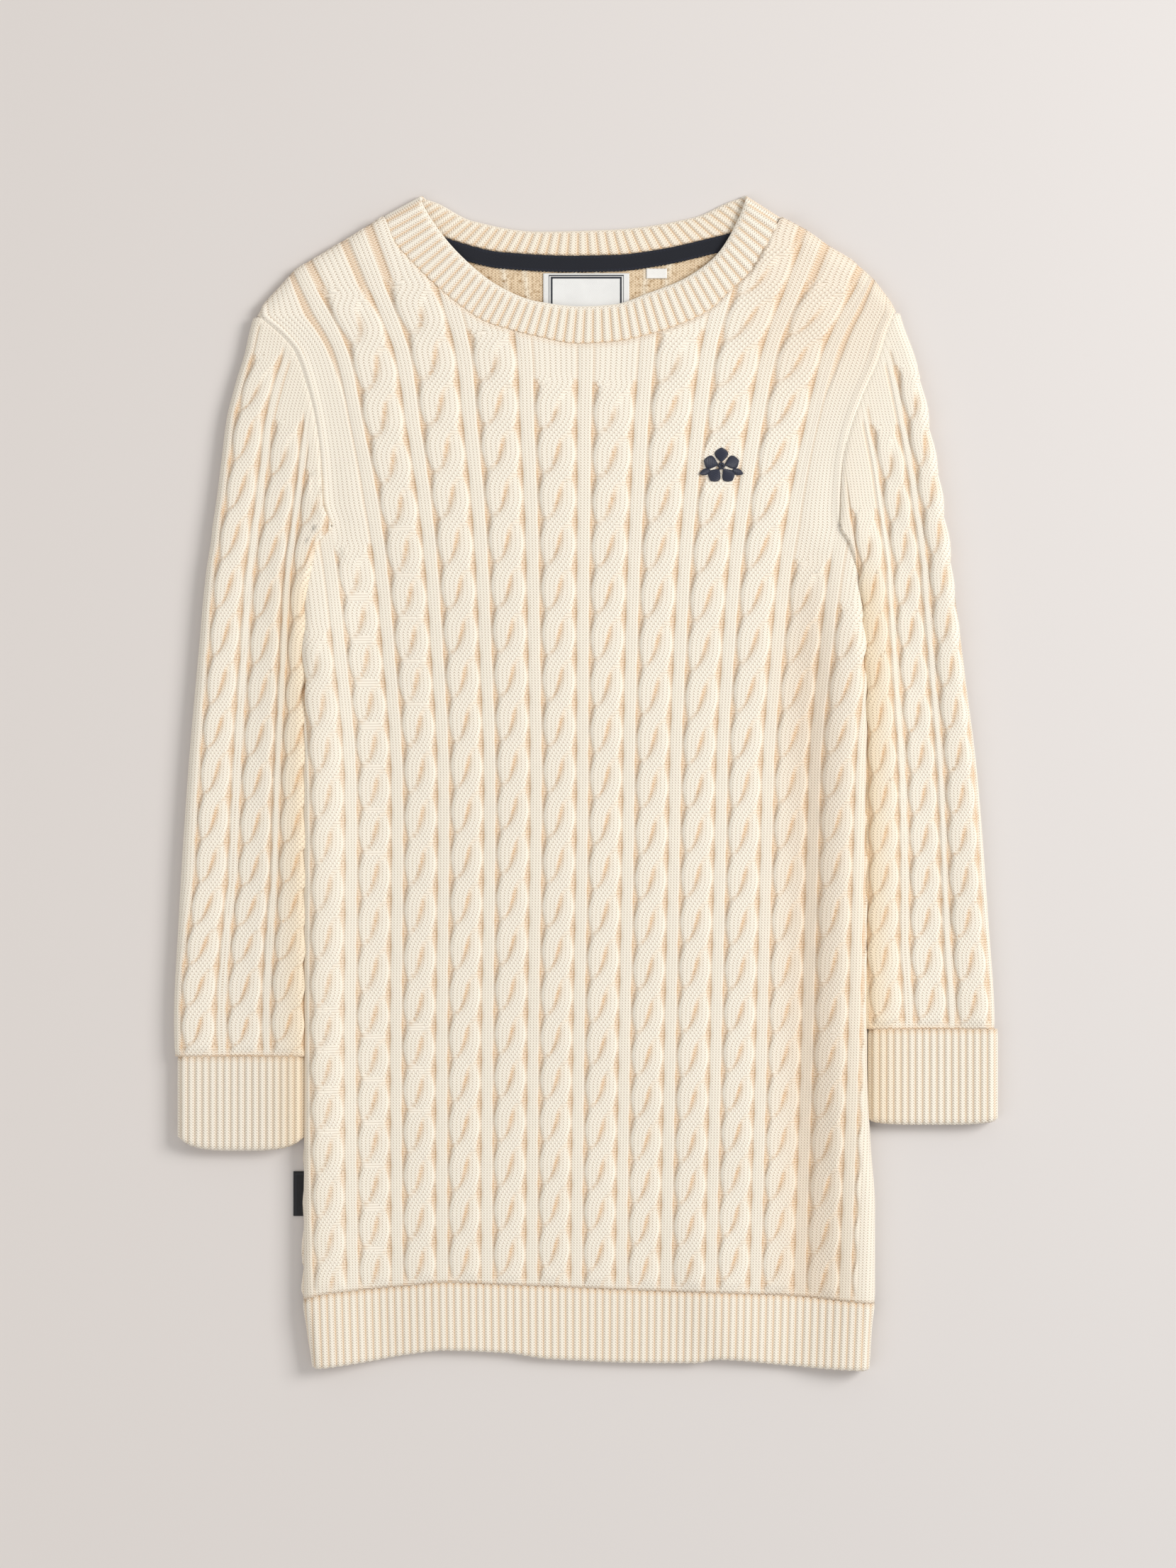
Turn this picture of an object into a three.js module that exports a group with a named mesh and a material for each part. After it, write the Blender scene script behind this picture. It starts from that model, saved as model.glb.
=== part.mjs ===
import * as THREE from "three";

// Cable-knit sweater dress, laid flat on its back.
// Millimetres. X runs across the dress, Y from hem to neck, Z up from the surface it lies on.
// Left and right are as seen from above.

// The cloth
const WALL = 3; // knitted cloth, without its relief
const SEAM = 0.4; // clearance between two sewn pieces
const BACK_TOP = 3.2; // upper side of the back panel

// The knit: cables four over four, with a rib of four wales between purl gutters
const REPEAT = 31.5; // height of one cable crossing
const LEAN = 0.62; // rise of a crossing over half the cable's width, in repeats
const CABLE_HALF = 0.33; // half the cable's width, in column pitches
const RIB_HALF = 0.13; // half the rib's width, in column pitches
const STRANDS = [-0.55, 0, 0.55]; // lines inside a cable, in half widths
const CREASE = 0.8; // height where one strand dives under the next
const CROWN = 2.4; // height of a strand
const RIB = 1.1; // height of a rib, and of plain knitting
const FIRST_CROSSING = 28; // plain knitting between a neck or shoulder seam and a cable

// Heights of the laid body
const MIDDLE_TOP = 7.8; // upper side over most of the body
const CHEST_TOP = 9.2; // upper side at the neck and armholes
const FOLD_TOP = 14; // upper side along the side folds
const FOLD_REACH = 56; // how far from its side fold the body rises
const ROLL = 6.6; // radius of a side fold
const SEAM_TURN = (150 * Math.PI) / 180; // how far round the fold its seam lies
const SHOULDER_FALL = 14; // width of the slope down to the shoulder seam
const SHOULDER_EDGE = 5.6; // upper side at the shoulder seam
const ARMPIT = 176; // height of the armpits on the plan
const FOLD_END = 112; // where the side folds start to narrow towards the armpits

// Heights of the laid sleeves and cuffs
const SLEEVE_ROLL = 5.8; // radius of the outer fold
const SLEEVE_TOP = 11.6; // upper side along the folds
const SLEEVE_SAG = 2.6; // how much lower it is halfway between them
const SLEEVE_PITCH = 31; // from one cable to the next
const FIRST_CABLE = 18; // from the outer fold to the first cable, along the cloth
const SLEEVE_STRAIGHT = 55; // cloth that keeps its width down the sleeve
const SLEEVE_STEP = 62; // between points along a plain line
const ARMPIT_STEP = 8; // the same where the inner fold bends to the armpit
const CUFF_RIB = 4.9; // from one rib to the next

// Neckband, tape and labels
const BAND_TOP = 10; // upper side of the front neckband
const BAND_RIB = 4.9;
const BAND_RELIEF = 0.9;
const TAPE = 0.9; // thickness of the neck tape
const LABEL = 0.6; // thickness of the woven labels

// The columns of the knit: where the middle one lies and how far apart they are
const COLUMNS = [
  { y: -405, middle: -7.3, pitch: 30.4 },
  { y: -357, middle: -7.3, pitch: 30.7 },
  { y: -193, middle: -5.9, pitch: 31.4 },
  { y: 2, middle: -3.2, pitch: 31.9 },
  { y: 99, middle: -3, pitch: 33.6 },
  { y: 148, middle: -2.7, pitch: 34.8 },
  { y: 197, middle: -2.2, pitch: 36.7 },
  { y: 246, middle: -2, pitch: 39.2 },
  { y: 294, middle: -1, pitch: 42 },
  { y: 343, middle: -1, pitch: 48.2 },
  { y: 392, middle: -1, pitch: 54.6 },
];

// The plan of each side: the outer fold of the sleeve, and the edge of the body,
// which is its side fold up to the armpit and its armhole seam above
const SIDES = {
  left: [
    { y: -404, sleeve: -283, body: -187.8 },
    { y: -396, sleeve: -283, body: -189.2 },
    { y: -375, sleeve: -283, body: -192.2 },
    { y: -356, sleeve: -283, body: -194.6 },
    { y: -193, sleeve: -283, body: -193.6 },
    { y: -165, sleeve: -283.5, body: -193.8 },
    { y: -96, sleeve: -280.4, body: -194.4 },
    { y: 2, sleeve: -274.2, body: -194.9 },
    { y: 96, sleeve: -266, body: -195.1 },
    { y: 127, sleeve: -263.3, body: -194.6 },
    { y: 149, sleeve: -260.8, body: -191.6 },
    { y: 165, sleeve: -258.2, body: -187 },
    { y: 176, sleeve: -257, body: -178.3 },
    { y: 192, sleeve: -254.6, body: -182.7 },
    { y: 221, sleeve: -251, body: -184.1 },
    { y: 250, sleeve: -247.4, body: -187.6 },
    { y: 275, sleeve: -241.2, body: -193.4 },
    { y: 296, sleeve: -234.8, body: -200.7 },
    { y: 309, sleeve: -232, body: -211.5 },
    { y: 321, sleeve: -228.8, body: -226.6 },
  ],
  right: [
    { y: -405, sleeve: 279.5, body: 192.9 },
    { y: -373, sleeve: 279.5, body: 195.1 },
    { y: -358, sleeve: 279.5, body: 197 },
    { y: -291, sleeve: 279.5, body: 197 },
    { y: -252, sleeve: 279.5, body: 194.2 },
    { y: -193, sleeve: 279.5, body: 191.6 },
    { y: -169, sleeve: 279.5, body: 191.6 },
    { y: -96, sleeve: 275.2, body: 191.6 },
    { y: 6, sleeve: 267.4, body: 191.8 },
    { y: 71, sleeve: 259.4, body: 192.1 },
    { y: 98, sleeve: 256.2, body: 190.5 },
    { y: 132, sleeve: 252, body: 188 },
    { y: 155, sleeve: 249.6, body: 184 },
    { y: 165, sleeve: 248.2, body: 181.4 },
    { y: 176, sleeve: 246.6, body: 176.4 },
    { y: 190, sleeve: 244.4, body: 175.4 },
    { y: 216, sleeve: 240.8, body: 176.3 },
    { y: 239, sleeve: 236.4, body: 180.2 },
    { y: 263, sleeve: 231.8, body: 188 },
    { y: 291, sleeve: 225.6, body: 199.8 },
    { y: 313, sleeve: 217.6, body: 206.6 },
    { y: 324, sleeve: 214, body: 211.8 },
  ],
};

// Seam along the top of the front: left shoulder, neck, right shoulder
const TOP_SEAM = [
  { x: -226.6, y: 321.2 },
  { x: -222.7, y: 330 },
  { x: -211.7, y: 341.7 },
  { x: -201.2, y: 353.4 },
  { x: -183.2, y: 364.1 },
  { x: -163.2, y: 375.9 },
  { x: -137.3, y: 391.5 },
  { x: -133.7, y: 375.9 },
  { x: -120.7, y: 359.3 },
  { x: -105.1, y: 344.1 },
  { x: -90, y: 331 },
  { x: -71, y: 318.3 },
  { x: -53.4, y: 312.4 },
  { x: -34.4, y: 307.6 },
  { x: -6.6, y: 302.7 },
  { x: 18.8, y: 304.1 },
  { x: 42.2, y: 309 },
  { x: 65.6, y: 316.8 },
  { x: 84.1, y: 326.1 },
  { x: 96.8, y: 338.3 },
  { x: 112.4, y: 352.4 },
  { x: 121.7, y: 368 },
  { x: 129.5, y: 383.7 },
  { x: 132.4, y: 389.5 },
  { x: 151.3, y: 380.2 },
  { x: 166.6, y: 369.5 },
  { x: 182.2, y: 360.2 },
  { x: 197.8, y: 346.1 },
  { x: 209.8, y: 330 },
  { x: 211.8, y: 323.7 },
];
const NECK_LEFT = 6; // row of TOP_SEAM where the neck starts
const NECK_RIGHT = 23; // row where it ends

// Where the hem band is sewn on, and its lower edge
const HEM = [
  { x: -196, top: -356, low: -404 },
  { x: -184, top: -352.4, low: -403.2 },
  { x: -150, top: -348.8, low: -398.8 },
  { x: -123, top: -346.4, low: -394.1 },
  { x: -98, top: -344.2, low: -391.4 },
  { x: -54, top: -346, low: -393.4 },
  { x: -27, top: -347, low: -397.3 },
  { x: 50, top: -350.4, low: -400.2 },
  { x: 74, top: -351, low: -400.2 },
  { x: 90, top: -351.4, low: -397.7 },
  { x: 137, top: -353.4, low: -401.7 },
  { x: 165, top: -355.6, low: -403.7 },
  { x: 198, top: -358.5, low: -405.2 },
];

// Cuffs: outer and inner edges, the seam to the sleeve and the lower edge
const CUFFS = {
  left: { outer: -281, inner: -197.4, top: -188.6, low: -253.4, corner: 8 },
  right: { outer: 281.6, inner: 195.4, top: -169.8, low: -235.6, corner: 2.4 },
};

// Free edge of the front neckband, and of the back one, left to right
const FRONT_EDGE = [
  { x: -115.9, y: 403.2 },
  { x: -107.6, y: 388 },
  { x: -88.5, y: 364.1 },
  { x: -59.3, y: 340.7 },
  { x: -34.4, y: 331 },
  { x: -4.1, y: 327.6 },
  { x: 18.8, y: 329 },
  { x: 42.2, y: 336.8 },
  { x: 65.6, y: 346.1 },
  { x: 89, y: 363.2 },
  { x: 104, y: 388 },
  { x: 110, y: 403.7 },
];
const BACK_EDGE = [
  { x: -115.9, y: 403.2 },
  { x: -105.1, y: 400 },
  { x: -79.3, y: 387.2 },
  { x: -34.4, y: 379.8 },
  { x: 18.8, y: 381.2 },
  { x: 73.4, y: 389.5 },
  { x: 100, y: 401 },
  { x: 110, y: 403.7 },
];

// Seam of the back neckband, which the tape covers
const BACK_SEAM = [
  { x: -137.3, y: 391.5 },
  { x: -118, y: 385 },
  { x: -88.5, y: 373.4 },
  { x: -59.3, y: 366.6 },
  { x: -12, y: 364.1 },
  { x: 18.8, y: 364.6 },
  { x: 50, y: 368.5 },
  { x: 89, y: 377.3 },
  { x: 114, y: 384 },
  { x: 132.4, y: 389.5 },
];
const TAPE_WIDTH = 11.4;
const TAPE_ENDS = { from: -104, to: 104 };

const LABEL_BOX = { left: -30.4, right: 29, top: 350.8, low: 313 };
const SIZE_BOX = { left: 40.7, right: 54.9, top: 354, low: 347.2 };
const TAB_BOX = { left: -202.8, right: -189.8, top: -268.5, low: -299.3, z: 0.5, thick: 0.9 };
const MOTIF = { x: 92.2, y: 217.4, petal: 12.6, leaf: 16, thick: 1.2, press: 1.6, reach: 20 };

const clamp = THREE.MathUtils.clamp;
const ramp = (value, from, to) => clamp((value - from) / (to - from), 0, 1);
const smooth = (value, from, to) => THREE.MathUtils.smoothstep(value, from, to);

// The value of one column of a table, by another
function read(table, by, column, at) {
  const last = table.length - 1;
  if (at <= table[0][by]) return table[0][column];
  if (at >= table[last][by]) return table[last][column];
  const i = table.findIndex((row) => row[by] > at);
  const share = (at - table[i - 1][by]) / (table[i][by] - table[i - 1][by]);
  return table[i - 1][column] + share * (table[i][column] - table[i - 1][column]);
}

// A wall is built from two lists of columns, outer and inner. A column is a list of vertices
// from its lower to its upper end, and each vertex is { at: [x, y, z], key }.
// Two columns, or two rims, are joined by triangles in the order of their keys.
function builder() {
  const points = [];
  const faces = [];
  const number = (vertex) => (vertex.index ??= points.push(vertex.at) - 1);
  return {
    zip(a, b, key) {
      let i = 0;
      let j = 0;
      while (i < a.length - 1 || j < b.length - 1) {
        const first = j === b.length - 1 || (i < a.length - 1 && key(a[i + 1]) <= key(b[j + 1]));
        faces.push([number(a[i]), number(b[j]), number(first ? a[i + 1] : b[j + 1])]);
        if (first) i++;
        else j++;
      }
    },
    geometry() {
      const flat = new Float32Array(points.flat());
      const corner = (i) => new THREE.Vector3().fromArray(flat, 3 * i);
      const volume = faces.reduce(
        (sum, [a, b, c]) => sum + corner(a).dot(corner(b).cross(corner(c))),
        0,
      );
      const order = volume < 0 ? faces.map(([a, b, c]) => [a, c, b]) : faces;
      return new THREE.BufferGeometry()
        .setAttribute("position", new THREE.BufferAttribute(flat, 3))
        .setIndex(order.flat());
    },
  };
}

const height = (vertex) => vertex.at[1];
const phase = (vertex) => vertex.phase;
const around = (vertex) => vertex.around;

// The armhole is the upper part of one column, from its split up. The columns beyond it end lower,
// and join only the part below.
const EDGE_KEY = 10; // keys that the rim along an armhole takes up
function belowSplit(column, other) {
  return column.split !== undefined && other.beyond
    ? column.vertices.slice(0, column.split + 1)
    : column.vertices;
}

// Strips between columns, rims at their ends, and edges at both sides unless the wall is a tube
function wall(outer, inner, tube) {
  const mesh = builder();
  const strips = (columns, back) =>
    columns.forEach((column, i) => {
      const next = columns[i + 1] ?? (tube ? columns[0] : null);
      if (!next) return;
      const key = column.strand && next.strand ? phase : height;
      const pair = [belowSplit(column, next), belowSplit(next, column)];
      if (back) pair.reverse();
      mesh.zip(...pair, key);
    });
  strips(outer, false);
  strips(inner, true);
  const ends = (columns, at) =>
    columns.flatMap((column) => {
      const start = column.split === undefined || at === 0 ? -1 : column.split;
      const chosen = start < 0 ? [column.vertices.at(at)] : column.vertices.slice(start);
      const left = column.around < 0;
      const far = column.beyond && at !== 0 ? EDGE_KEY : 0;
      chosen.forEach((vertex, i) => {
        const share = start < 0 ? 0 : EDGE_KEY * (1 - i / (chosen.length - 1));
        vertex.around = column.around + (left ? -1 : 1) * (far + share);
      });
      return left ? chosen : chosen.reverse();
    });
  const rims = (at) => {
    const pair = [ends(outer, at), ends(inner, at)];
    if (at !== 0) pair.reverse();
    mesh.zip(...pair, around);
    if (tube) {
      mesh.zip([pair[0].at(-1), pair[0][0]], [pair[1].at(-1), pair[1][0]], (v) =>
        v === pair[0][0] || v === pair[1][0] ? 1 : 0,
      );
    }
  };
  rims(0);
  rims(-1);
  if (!tube) {
    mesh.zip(inner[0].vertices, outer[0].vertices, height);
    mesh.zip(outer.at(-1).vertices, inner.at(-1).vertices, height);
  }
  return mesh.geometry();
}

// Heights from one end of a column to the other, no further apart than a step
function levels(from, to, step) {
  const count = Math.max(1, Math.ceil((to - from) / step));
  return Array.from({ length: count + 1 }, (_, i) => from + ((to - from) * i) / count);
}

// Body

const sideOf = (c) => (c < 0 ? "left" : "right");
const bodyEdge = (side, y) => read(SIDES[side], "y", "body", y);
const sleeveEdge = (side, y) => read(SIDES[side], "y", "sleeve", y);
const middleOf = (y) => read(COLUMNS, "y", "middle", y);
const pitchOf = (y) => read(COLUMNS, "y", "pitch", y);
const halfWidth = (side, y) => Math.abs(bodyEdge(side, y) - middleOf(y));
const foldRadius = (y) => ROLL * (1 - ramp(y, FOLD_END, ARMPIT));
const armholeColumn = (side) => halfWidth(side, ARMPIT) / pitchOf(ARMPIT);
const LAST_STRAIGHT = 4; // columns beyond this one bend with the armhole

// Upper side of the body without its relief, by plan
function bodyTop(side, x, y) {
  const fromFold = Math.abs(bodyEdge(side, y) - x);
  const chest = MIDDLE_TOP + (CHEST_TOP - MIDDLE_TOP) * smooth(y, 120, 260);
  const fold = 1 - smooth(fromFold, ROLL, FOLD_REACH);
  const rise = (FOLD_TOP - chest) * fold * (1 - smooth(y, FOLD_END - 20, ARMPIT + 10));
  const below = read(TOP_SEAM, "x", "y", x) - y;
  const neck = TOP_SEAM[NECK_RIGHT].x;
  const shoulder = smooth(Math.abs(x), neck, neck + 40) * (1 - clamp(below / SHOULDER_FALL, 0, 1)) ** 2;
  return chest + rise - (chest - SHOULDER_EDGE) * shoulder;
}

// A point of the body by column and height, lifted off the upper side
function bodyPoint(c, y, lift) {
  const side = sideOf(c);
  const sign = c < 0 ? -1 : 1;
  const half = halfWidth(side, y);
  const pitch = pitchOf(y);
  const roll = foldRadius(y);
  const flat = half - roll;
  let across = Math.abs(c) * pitch;
  if (y > ARMPIT && Math.abs(c) > LAST_STRAIGHT) {
    const share = (Math.abs(c) - LAST_STRAIGHT) / (armholeColumn(side) - LAST_STRAIGHT);
    across = LAST_STRAIGHT * pitch + share * (half - LAST_STRAIGHT * pitch);
  }
  const turn = roll > 0 ? clamp((across - flat) / roll, 0, SEAM_TURN) : 0;
  const x = middleOf(y) + sign * (Math.min(across, flat) + (roll + lift) * Math.sin(turn));
  const top = bodyTop(side, middleOf(y) + sign * Math.min(across, flat), y);
  const z = top - roll + (roll + lift) * Math.cos(turn);
  return [x, y, lift < 0 ? Math.max(z, BACK_TOP + SEAM) : z];
}

// Where the side seam runs, as a column
function seamColumn(side, y) {
  const turn = SEAM_TURN * (1 - ramp(y, FOLD_END, ARMPIT));
  return (halfWidth(side, y) + foldRadius(y) * (turn - 1)) / pitchOf(y);
}

// Upper end of a column of the body: at the side seam, or at the shoulder or neck
function bodyColumnTop(c) {
  const side = sideOf(c);
  if (Math.abs(c) > armholeColumn(side) + 1e-6) {
    let y = ARMPIT;
    while (y > -300 && seamColumn(side, y) < Math.abs(c)) y -= 0.5;
    return y;
  }
  let y = ARMPIT;
  while (y < read(TOP_SEAM, "x", "y", bodyPoint(c, y, 0)[0])) y += 0.25;
  return y;
}

const hemSeam = (c) => read(HEM, "x", "top", bodyPoint(c, -352, 0)[0]);
const EDGE_COLUMNS = { left: 6.32, right: 6.9 }; // outermost columns, at the side seams
const LAST_RIB = 6.2; // plain knitting beyond this column
const FOLD_COLUMNS = [6.32, 6.5, 6.7]; // plain lines round the right side fold
const NECK_CORNER = 2.56; // column at the left corner of neck and shoulder

// Height below which a cable crosses
function crossingTop(cable, top) {
  const far = Math.abs(cable);
  if (far > 5) return 112;
  if (far > 4) return 146;
  return top - FIRST_CROSSING;
}

// Relief of the front where it is not a strand of a cable
function plainRelief(c, y, line) {
  const far = Math.abs(c);
  const border = (far > 4.1 && y > 160) || (far > 4.9 && y > 125);
  return line === "gutter" && !border ? 0 : RIB;
}

// Where a column of the body stands: beyond the armhole, on it, or inside it
function placeOf(c) {
  const past = Math.abs(c) - armholeColumn(sideOf(c));
  return { around: c, beyond: past > 1e-6, armhole: Math.abs(past) < 1e-6 };
}

// Heights of the points that the plan gives along an armhole
const armholeLevels = (side, top) =>
  SIDES[side].map((row) => row.y).filter((y) => y > ARMPIT && y < top - 3).concat(top);

function frontColumn({ c, line, cable, strand }) {
  const low = hemSeam(c) + SEAM;
  const top = bodyColumnTop(c) - SEAM;
  const vertices = [];
  const put = (y, lift) => {
    const near = Math.hypot(bodyPoint(c, y, 0)[0] - MOTIF.x, y - MOTIF.y) < MOTIF.reach;
    const at = bodyPoint(c, y, near ? Math.min(lift, MOTIF.press) : lift);
    vertices.push({ at, phase: y / REPEAT - LEAN * (strand ?? 0) });
  };
  const place = placeOf(c);
  if (line !== "strand") {
    levels(low, Math.min(top, ARMPIT), 62).forEach((y) => put(y, plainRelief(c, y, line)));
    if (place.armhole) place.split = vertices.length - 1;
    if (top > ARMPIT) {
      const edge = Math.abs(c) > LAST_STRAIGHT + 0.8;
      const above = edge ? armholeLevels(sideOf(c), top) : levels(ARMPIT, top, 40).slice(1);
      above.forEach((y) => put(y, plainRelief(c, y, line)));
    }
    return { vertices, ...place };
  }
  const last = Math.min(top - 6, crossingTop(cable, top));
  const third = REPEAT / 3;
  put(low, RIB);
  const first = Math.ceil((low + 5 - LEAN * strand * REPEAT) / third);
  for (let k = first; k * third + LEAN * strand * REPEAT < last; k++) {
    put(k * third + LEAN * strand * REPEAT, k % 3 === 0 ? CREASE : CROWN);
  }
  const start = height(vertices.at(-1));
  levels(start, top, 34).slice(1).forEach((y) => put(y, RIB));
  return { vertices, ...place, strand: true };
}

// Lines of the pattern across the body, left to right
function patternLines() {
  const lines = [];
  for (let k = -7; k <= 6; k++) {
    lines.push({ c: k - RIB_HALF, line: "rib" }, { c: k + RIB_HALF, line: "rib" });
    lines.push({ c: k + 0.5 - CABLE_HALF, line: "gutter" });
    STRANDS.forEach((strand) =>
      lines.push({ c: k + 0.5 + CABLE_HALF * strand, line: "strand", cable: k + 0.5, strand }),
    );
    lines.push({ c: k + 0.5 + CABLE_HALF, line: "gutter" });
  }
  const fixed = [-EDGE_COLUMNS.left, -armholeColumn("left"), -NECK_CORNER, armholeColumn("right")];
  fixed.push(...FOLD_COLUMNS, EDGE_COLUMNS.right);
  return lines
    .filter(({ c }) => Math.abs(c) < LAST_RIB && !fixed.some((f) => Math.abs(f - c) < 0.05))
    .concat(fixed.map((c) => ({ c, line: "rib" })))
    .sort((a, b) => a.c - b.c);
}

function plainColumn(c, low, top, step) {
  const place = placeOf(c);
  const marks = levels(low, Math.min(top, ARMPIT), step);
  if (place.armhole) {
    place.split = marks.length - 1;
    marks.push(...armholeLevels(sideOf(c), top));
  } else if (top > ARMPIT) {
    marks.push(...levels(ARMPIT, top, step / 2).slice(1));
  }
  return { vertices: marks.map((y) => ({ at: bodyPoint(c, y, -WALL) })), ...place };
}

function frontGeometry() {
  const outer = patternLines().map(frontColumn);
  const spots = [
    ...levels(-EDGE_COLUMNS.left, -3, 0.5),
    ...levels(-2.75, 2.75, 0.25),
    ...levels(3, 5.9, 0.5),
    ...FOLD_COLUMNS,
    EDGE_COLUMNS.right,
    -armholeColumn("left"),
    armholeColumn("right"),
  ].sort((a, b) => a - b);
  const inner = spots.map((c) => plainColumn(c, hemSeam(c) + SEAM, bodyColumnTop(c) - SEAM, 62));
  return wall(outer, inner, false);
}

function frontHemGeometry() {
  const low = (c) => read(HEM, "x", "low", bodyPoint(c, -400, 0)[0]);
  const ribs = 6; // ribs in each pitch of the columns
  const outer = [];
  for (let k = Math.ceil(-EDGE_COLUMNS.left * 2 * ribs); k <= EDGE_COLUMNS.right * 2 * ribs; k++) {
    const c = k / (2 * ribs);
    const lift = k % 2 === 0 ? RIB : 0;
    const marks = [low(c), hemSeam(c) - SEAM];
    outer.push({ vertices: marks.map((y) => ({ at: bodyPoint(c, y, lift) })), around: c });
  }
  const spots = levels(outer[0].around, outer.at(-1).around, 0.5);
  const inner = spots.map((c) => plainColumn(c, low(c), hemSeam(c) - SEAM, 60));
  return wall(outer, inner, false);
}

// A flat piece with this outline, from one height to another
function slab(outline, z, thick) {
  const shape = new THREE.Shape(outline.map(([x, y]) => new THREE.Vector2(x, y)));
  return new THREE.ExtrudeGeometry(shape, { depth: thick, bevelEnabled: false }).translate(0, 0, z);
}

const backEdge = (side, y) => {
  const inward = Math.max(foldRadius(y) - 1.8, SEAM / 2);
  return bodyEdge(side, y) - Math.sign(bodyEdge(side, y)) * inward;
};

function backGeometry() {
  const climb = (side) =>
    [-300, -193, -96, 2, 50]
      .concat(SIDES[side].map((row) => row.y).filter((y) => y > 60))
      .map((y) => [backEdge(side, y), y]);
  const left = climb("left");
  const right = climb("right").reverse();
  const shoulders = TOP_SEAM.filter((_, i) => i > 0 && i < NECK_LEFT).map(({ x, y }) => [x, y]);
  const rightShoulder = TOP_SEAM.filter((_, i) => i > NECK_RIGHT && i < 29).map(({ x, y }) => [x, y]);
  const neck = BACK_SEAM.map(({ x, y }) => [x, y - 2 * SEAM]);
  const hem = HEM.map(({ x, top }) => [x, top + SEAM]).slice(1, -1).reverse();
  const corner = (side, row) => [backEdge(side, row.top), row.top + SEAM];
  return slab(
    [corner("left", HEM[0]), ...left, ...shoulders, ...neck, ...rightShoulder, ...right,
      corner("right", HEM.at(-1)), ...hem],
    0,
    BACK_TOP,
  );
}

function backHemGeometry() {
  const inside = ({ x }) => Math.abs(x) < 170;
  const top = HEM.filter(inside).map(({ x, top }) => [x, top - SEAM]);
  const low = HEM.filter(inside).map(({ x, low }) => [x, low]).reverse();
  const edge = (side, y) => [backEdge(side, y), y];
  const [first, last] = [HEM[0], HEM.at(-1)];
  return slab(
    [edge("left", first.low), edge("left", first.top - SEAM), ...top,
      edge("right", last.top - SEAM), edge("right", last.low), ...low],
    0,
    BACK_TOP,
  );
}

// Sleeves and cuffs

// The flattened tube at one height. Its upper and lower sides meet in a fold at each edge.
// The upper side sags between the folds. A lift moves a point out along the tube's normal.
function tubePoint(tube, y, along, face, lift) {
  const sign = Math.sign(tube.outer - tube.inner);
  const width = Math.abs(tube.outer - tube.inner);
  const turns = [tube.outerRoll, tube.innerRoll].map((roll) => (roll * Math.PI) / 2);
  const flat = width - tube.outerRoll - tube.innerRoll;
  const fromEnd = turns[0] + flat + turns[1] - along;
  let distance;
  let rise = 1;
  let lean = 0;
  if (along < turns[0]) {
    const angle = Math.max(along, 0) / tube.outerRoll;
    distance = tube.outerRoll * (1 - Math.cos(angle));
    rise = Math.sin(angle);
    lean = Math.cos(angle);
  } else if (fromEnd < turns[1]) {
    const angle = Math.max(fromEnd, 0) / tube.innerRoll;
    distance = width - tube.innerRoll * (1 - Math.cos(angle));
    rise = Math.sin(angle);
    lean = -Math.cos(angle);
  } else {
    distance = along - turns[0] + tube.outerRoll;
  }
  const sag = tube.sag * smooth(Math.min(distance, width - distance), SLEEVE_ROLL, width / 2);
  const middle = (tube.top + tube.low) / 2;
  const end = face > 0 ? tube.top - sag : tube.low;
  const x = tube.outer - sign * (distance - lift * lean);
  return [x, y, middle + (end - middle) * rise + face * lift * rise];
}

const tubeLength = (tube) =>
  Math.abs(tube.outer - tube.inner) + (tube.outerRoll + tube.innerRoll) * (Math.PI / 2 - 1);

// The same tube, one wall further in
function lining(tube, inset) {
  const sign = Math.sign(tube.outer - tube.inner);
  return {
    ...tube,
    outer: tube.outer - sign * WALL,
    inner: tube.inner + sign * inset,
    outerRoll: Math.max(tube.outerRoll - WALL, 0.5),
    innerRoll: Math.max(tube.innerRoll - inset, 0.4),
    top: tube.top - WALL,
    low: tube.low + WALL,
  };
}

function sleeveTube(side, y) {
  const sign = side === "left" ? -1 : 1;
  const below = 1 - ramp(y, FOLD_END, ARMPIT);
  return {
    outer: sleeveEdge(side, y),
    inner: bodyEdge(side, y) + sign * (2.4 * SEAM + 1.6 * below),
    outerRoll: SLEEVE_ROLL,
    innerRoll: Math.max(SLEEVE_ROLL * below, 0.8),
    top: SLEEVE_TOP - (SLEEVE_TOP - CHEST_TOP) * smooth(y, ARMPIT - 40, 310),
    low: 0,
    sag: SLEEVE_SAG * (1 - smooth(y, ARMPIT, 300)),
  };
}

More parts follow.
